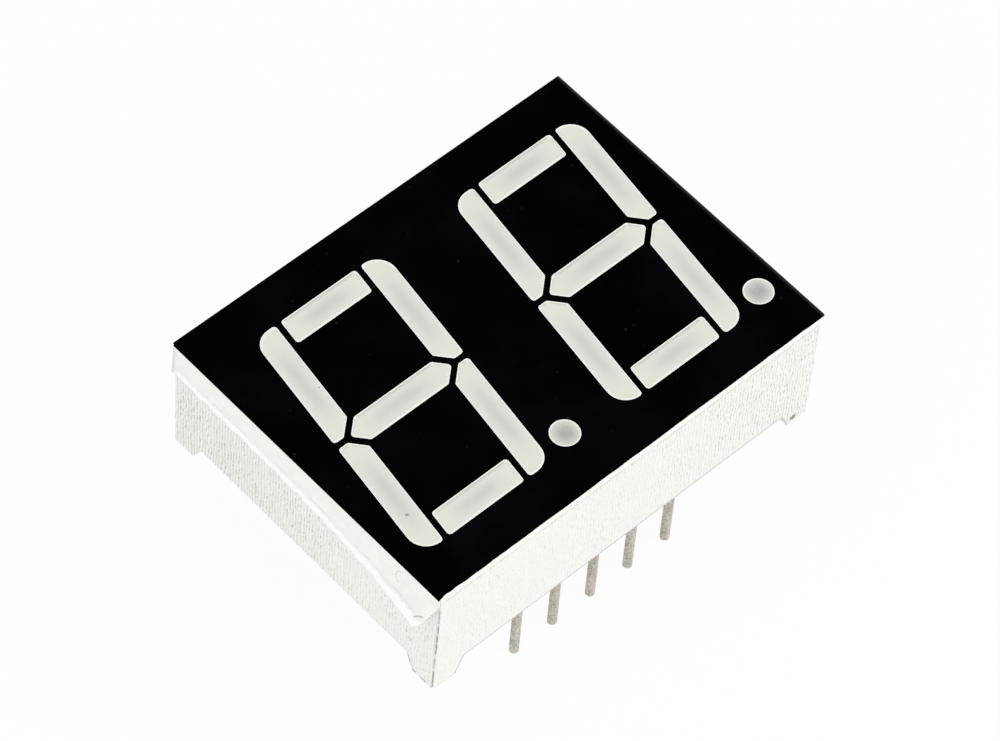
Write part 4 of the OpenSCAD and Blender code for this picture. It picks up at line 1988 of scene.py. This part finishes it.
@dataclass
class PinRows:
    """The ten pins, which keep their own meshes."""

    effects: EffectLibrary
    finish: TinnedFinish = field(default_factory=TinnedFinish)

    def dress(self) -> list[bpy.types.Object]:
        """Gives each pin its finish.

        Returns:
            The pins.
        """
        material = self.finish.build(self.effects)
        pins = [made for name, made in sorted(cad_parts.items()) if name.startswith("pin_")]
        for pin in pins:
            paint(pin, material)
        return pins

    @staticmethod
    def places() -> tuple[list[Point2], float]:
        """Reads from the frame where the pins stand.

        Returns:
            The places of the pins' middles, and the pins' radius, in metres.
        """
        boxes = [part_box(name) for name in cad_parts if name.startswith("pin_")]
        middles = [((low.x + high.x) / 2, (low.y + high.y) / 2) for low, high in boxes]
        low, high = boxes[0]
        return middles, (high.x - low.x) / 2


@dataclass
class InnerParts:
    """The sealed pieces: board, copper, solder, chips and bond wires."""

    effects: EffectLibrary
    copper: MetalFinish = MetalFinish("etched_copper", (0.76, 0.40, 0.22), (0.50, 0.24, 0.13), 0.3)
    solder: MetalFinish = MetalFinish("solder", (0.72, 0.73, 0.74), (0.50, 0.50, 0.49), 0.22)
    wire: MetalFinish = MetalFinish("gold_wire", (0.86, 0.62, 0.25), (0.66, 0.45, 0.18), 0.2)

    def dress(self) -> int:
        """Gives each sealed piece its finish.

        Returns:
            How many pieces were dressed.
        """
        finishes = {
            "circuit_board": LaminateFinish().build(self.effects),
            "copper_tracks": self.copper.build(self.effects),
            "solder_": self.solder.build(self.effects),
            "chip_": ChipFinish().build(self.effects),
            "bond_wire_": self.wire.build(self.effects),
            "resin_fill": ResinFinish().build(self.effects, "resin_body", chip_and_shadow=0.0),
        }
        count = 0
        for name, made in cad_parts.items():
            for start, material in finishes.items():
                if name.startswith(start):
                    paint(made, material)
                    count += 1
        return count


# Studio


@dataclass(frozen=True)
class SoftLamp:
    """A square soft lamp, aimed at the display. Its level is what it adds to a white surface facing it."""

    name: str
    direction: Point3
    distance: float
    size: float
    level: float

    def build(self) -> bpy.types.Object:
        """Makes the lamp.

        Returns:
            The lamp, in the scene.
        """
        lamp = bpy.data.lights.new(self.name, "AREA")
        lamp.shape = "SQUARE"
        lamp.size = self.size
        lamp.energy = self.level * math.pi ** 2 * self.distance ** 2
        made = bpy.data.objects.new(self.name, lamp)
        bpy.context.scene.collection.objects.link(made)
        away = Vector(self.direction).normalized()
        made.location = away * self.distance
        made.rotation_euler = away.to_track_quat("Z", "Y").to_euler()
        return made


@dataclass
class Studio:
    """A plain white floor, an even sky and soft lamps."""

    floor_size: float = 1.6
    floor_grey: float = 0.86
    floor_white: float = 0.94
    floor_roughness: float = 0.9
    floor_specular: float = 0.1
    sky: float = 0.68
    lamps: tuple[SoftLamp, ...] = (
        SoftLamp("key_lamp", (0.45, -0.75, 0.95), 0.55, 0.35, 0.38),
        SoftLamp("fill_lamp", (-0.85, -0.15, 0.8), 0.60, 0.45, 0.27),
    )

    def build(self) -> bpy.types.Object:
        """Builds the floor, the sky and the lamps.

        Returns:
            The floor.
        """
        world = bpy.data.worlds.new("studio")
        bpy.context.scene.world = world
        world.use_nodes = True
        sky = world.node_tree.nodes["Background"]
        sky.inputs["Color"].default_value = (1, 1, 1, 1)
        sky.inputs["Strength"].default_value = self.sky
        for lamp in self.lamps:
            lamp.build()
        return self._floor()

    def _floor(self) -> bpy.types.Object:
        """Builds the floor under the pins, which stays white where it is seen or mirrored.

        Returns:
            The floor.
        """
        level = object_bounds()[0][2]
        half = self.floor_size / 2
        corners = [(-half, -half, level), (half, -half, level), (half, half, level), (-half, half, level)]
        material = bpy.data.materials.new("floor")
        material.use_nodes = True
        tree = Tree(material.node_tree.nodes, material.node_tree.links)
        tree.nodes.clear()
        plain = tree.add("ShaderNodeBsdfPrincipled", {
            "Roughness": self.floor_roughness, "Specular IOR Level": self.floor_specular})
        plain.inputs["Base Color"].default_value = (self.floor_grey,) * 3 + (1.0,)
        white = tree.add("ShaderNodeEmission", {"Strength": 1.0})
        rays = tree.add("ShaderNodeLightPath")
        seen = tree.maths("MAXIMUM", rays.outputs["Is Camera Ray"], rays.outputs["Is Glossy Ray"])
        seen = tree.maths("MAXIMUM", seen, rays.outputs["Is Transmission Ray"])
        mix = tree.add("ShaderNodeMixShader")
        tree.join(tree.times(seen, self.floor_white), mix.inputs[0])
        tree.join(plain.outputs[0], mix.inputs[1])
        tree.join(white.outputs[0], mix.inputs[2])
        output = tree.add("ShaderNodeOutputMaterial")
        tree.join(mix.outputs[0], output.inputs["Surface"])
        floor = mesh_object("floor", corners, [(0, 1, 2, 3)], [material])
        floor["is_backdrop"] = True
        return floor


@dataclass(frozen=True)
class PhotoCamera:
    """The camera that took the photograph, from a fit to the face's corners and the upright edges."""

    azimuth: float = -46.50
    elevation: float = 55.14
    roll: float = 5.10
    distance: float = 260.8 * MM
    target: Point3 = (0.39 * MM, 0.17 * MM, 4.0 * MM)
    focal_px: float = 5390.0
    picture_px: float = 1000.0
    sensor_mm: float = 36.0
    clip: Pair = (10 * MM, 20.0)

    def build(self) -> bpy.types.Object:
        """Makes the camera, and makes it the scene's camera.

        Returns:
            The camera.
        """
        azimuth, elevation, roll = (math.radians(a) for a in (self.azimuth, self.elevation, self.roll))
        ahead = Vector((-math.sin(azimuth) * math.cos(elevation),
                        math.cos(azimuth) * math.cos(elevation), -math.sin(elevation)))
        level = Vector((math.cos(azimuth), math.sin(azimuth), 0.0))
        above = level.cross(ahead)
        right = level * math.cos(roll) + above * math.sin(roll)
        up = right.cross(ahead)
        turn = Matrix((right, up, -ahead)).transposed()
        data = bpy.data.cameras.new("photo_camera")
        data.sensor_fit = "HORIZONTAL"
        data.sensor_width = self.sensor_mm
        data.lens = self.focal_px / self.picture_px * self.sensor_mm
        data.clip_start, data.clip_end = self.clip
        data.dof.use_dof = False
        made = bpy.data.objects.new("photo_camera", data)
        bpy.context.scene.collection.objects.link(made)
        made.matrix_world = Matrix.Translation(Vector(self.target) - ahead * self.distance) @ turn.to_4x4()
        bpy.context.scene.camera = made
        return made


def main() -> None:
    """Builds everything in order and reports each piece."""
    logging.basicConfig(level=logging.INFO, format="%(name)s: %(message)s")
    bpy.context.scene.view_settings.view_transform = "Standard"
    PhotoCamera().build()
    effects = EffectLibrary()
    film = FaceFilm(effects)
    made = film.build()
    LOG.info("%s: %d faces, %d windows", made.name, len(made.data.polygons), len(film.windows))
    for cap in SegmentWindows(effects, film.windows).build():
        LOG.info("%s: %d faces", cap.name, len(cap.data.polygons))
    places, radius = PinRows.places()
    back = ResinBack(effects, places, radius).build()
    LOG.info("%s: %d faces", back.name, len(back.data.polygons))
    LOG.info("%s dressed", Housing(effects).dress().name)
    LOG.info("%d pins dressed", len(PinRows(effects).dress()))
    LOG.info("%d sealed pieces dressed", InnerParts(effects).dress())
    LOG.info("%s built", Studio().build().name)


if __name__ == "__main__":
    main()
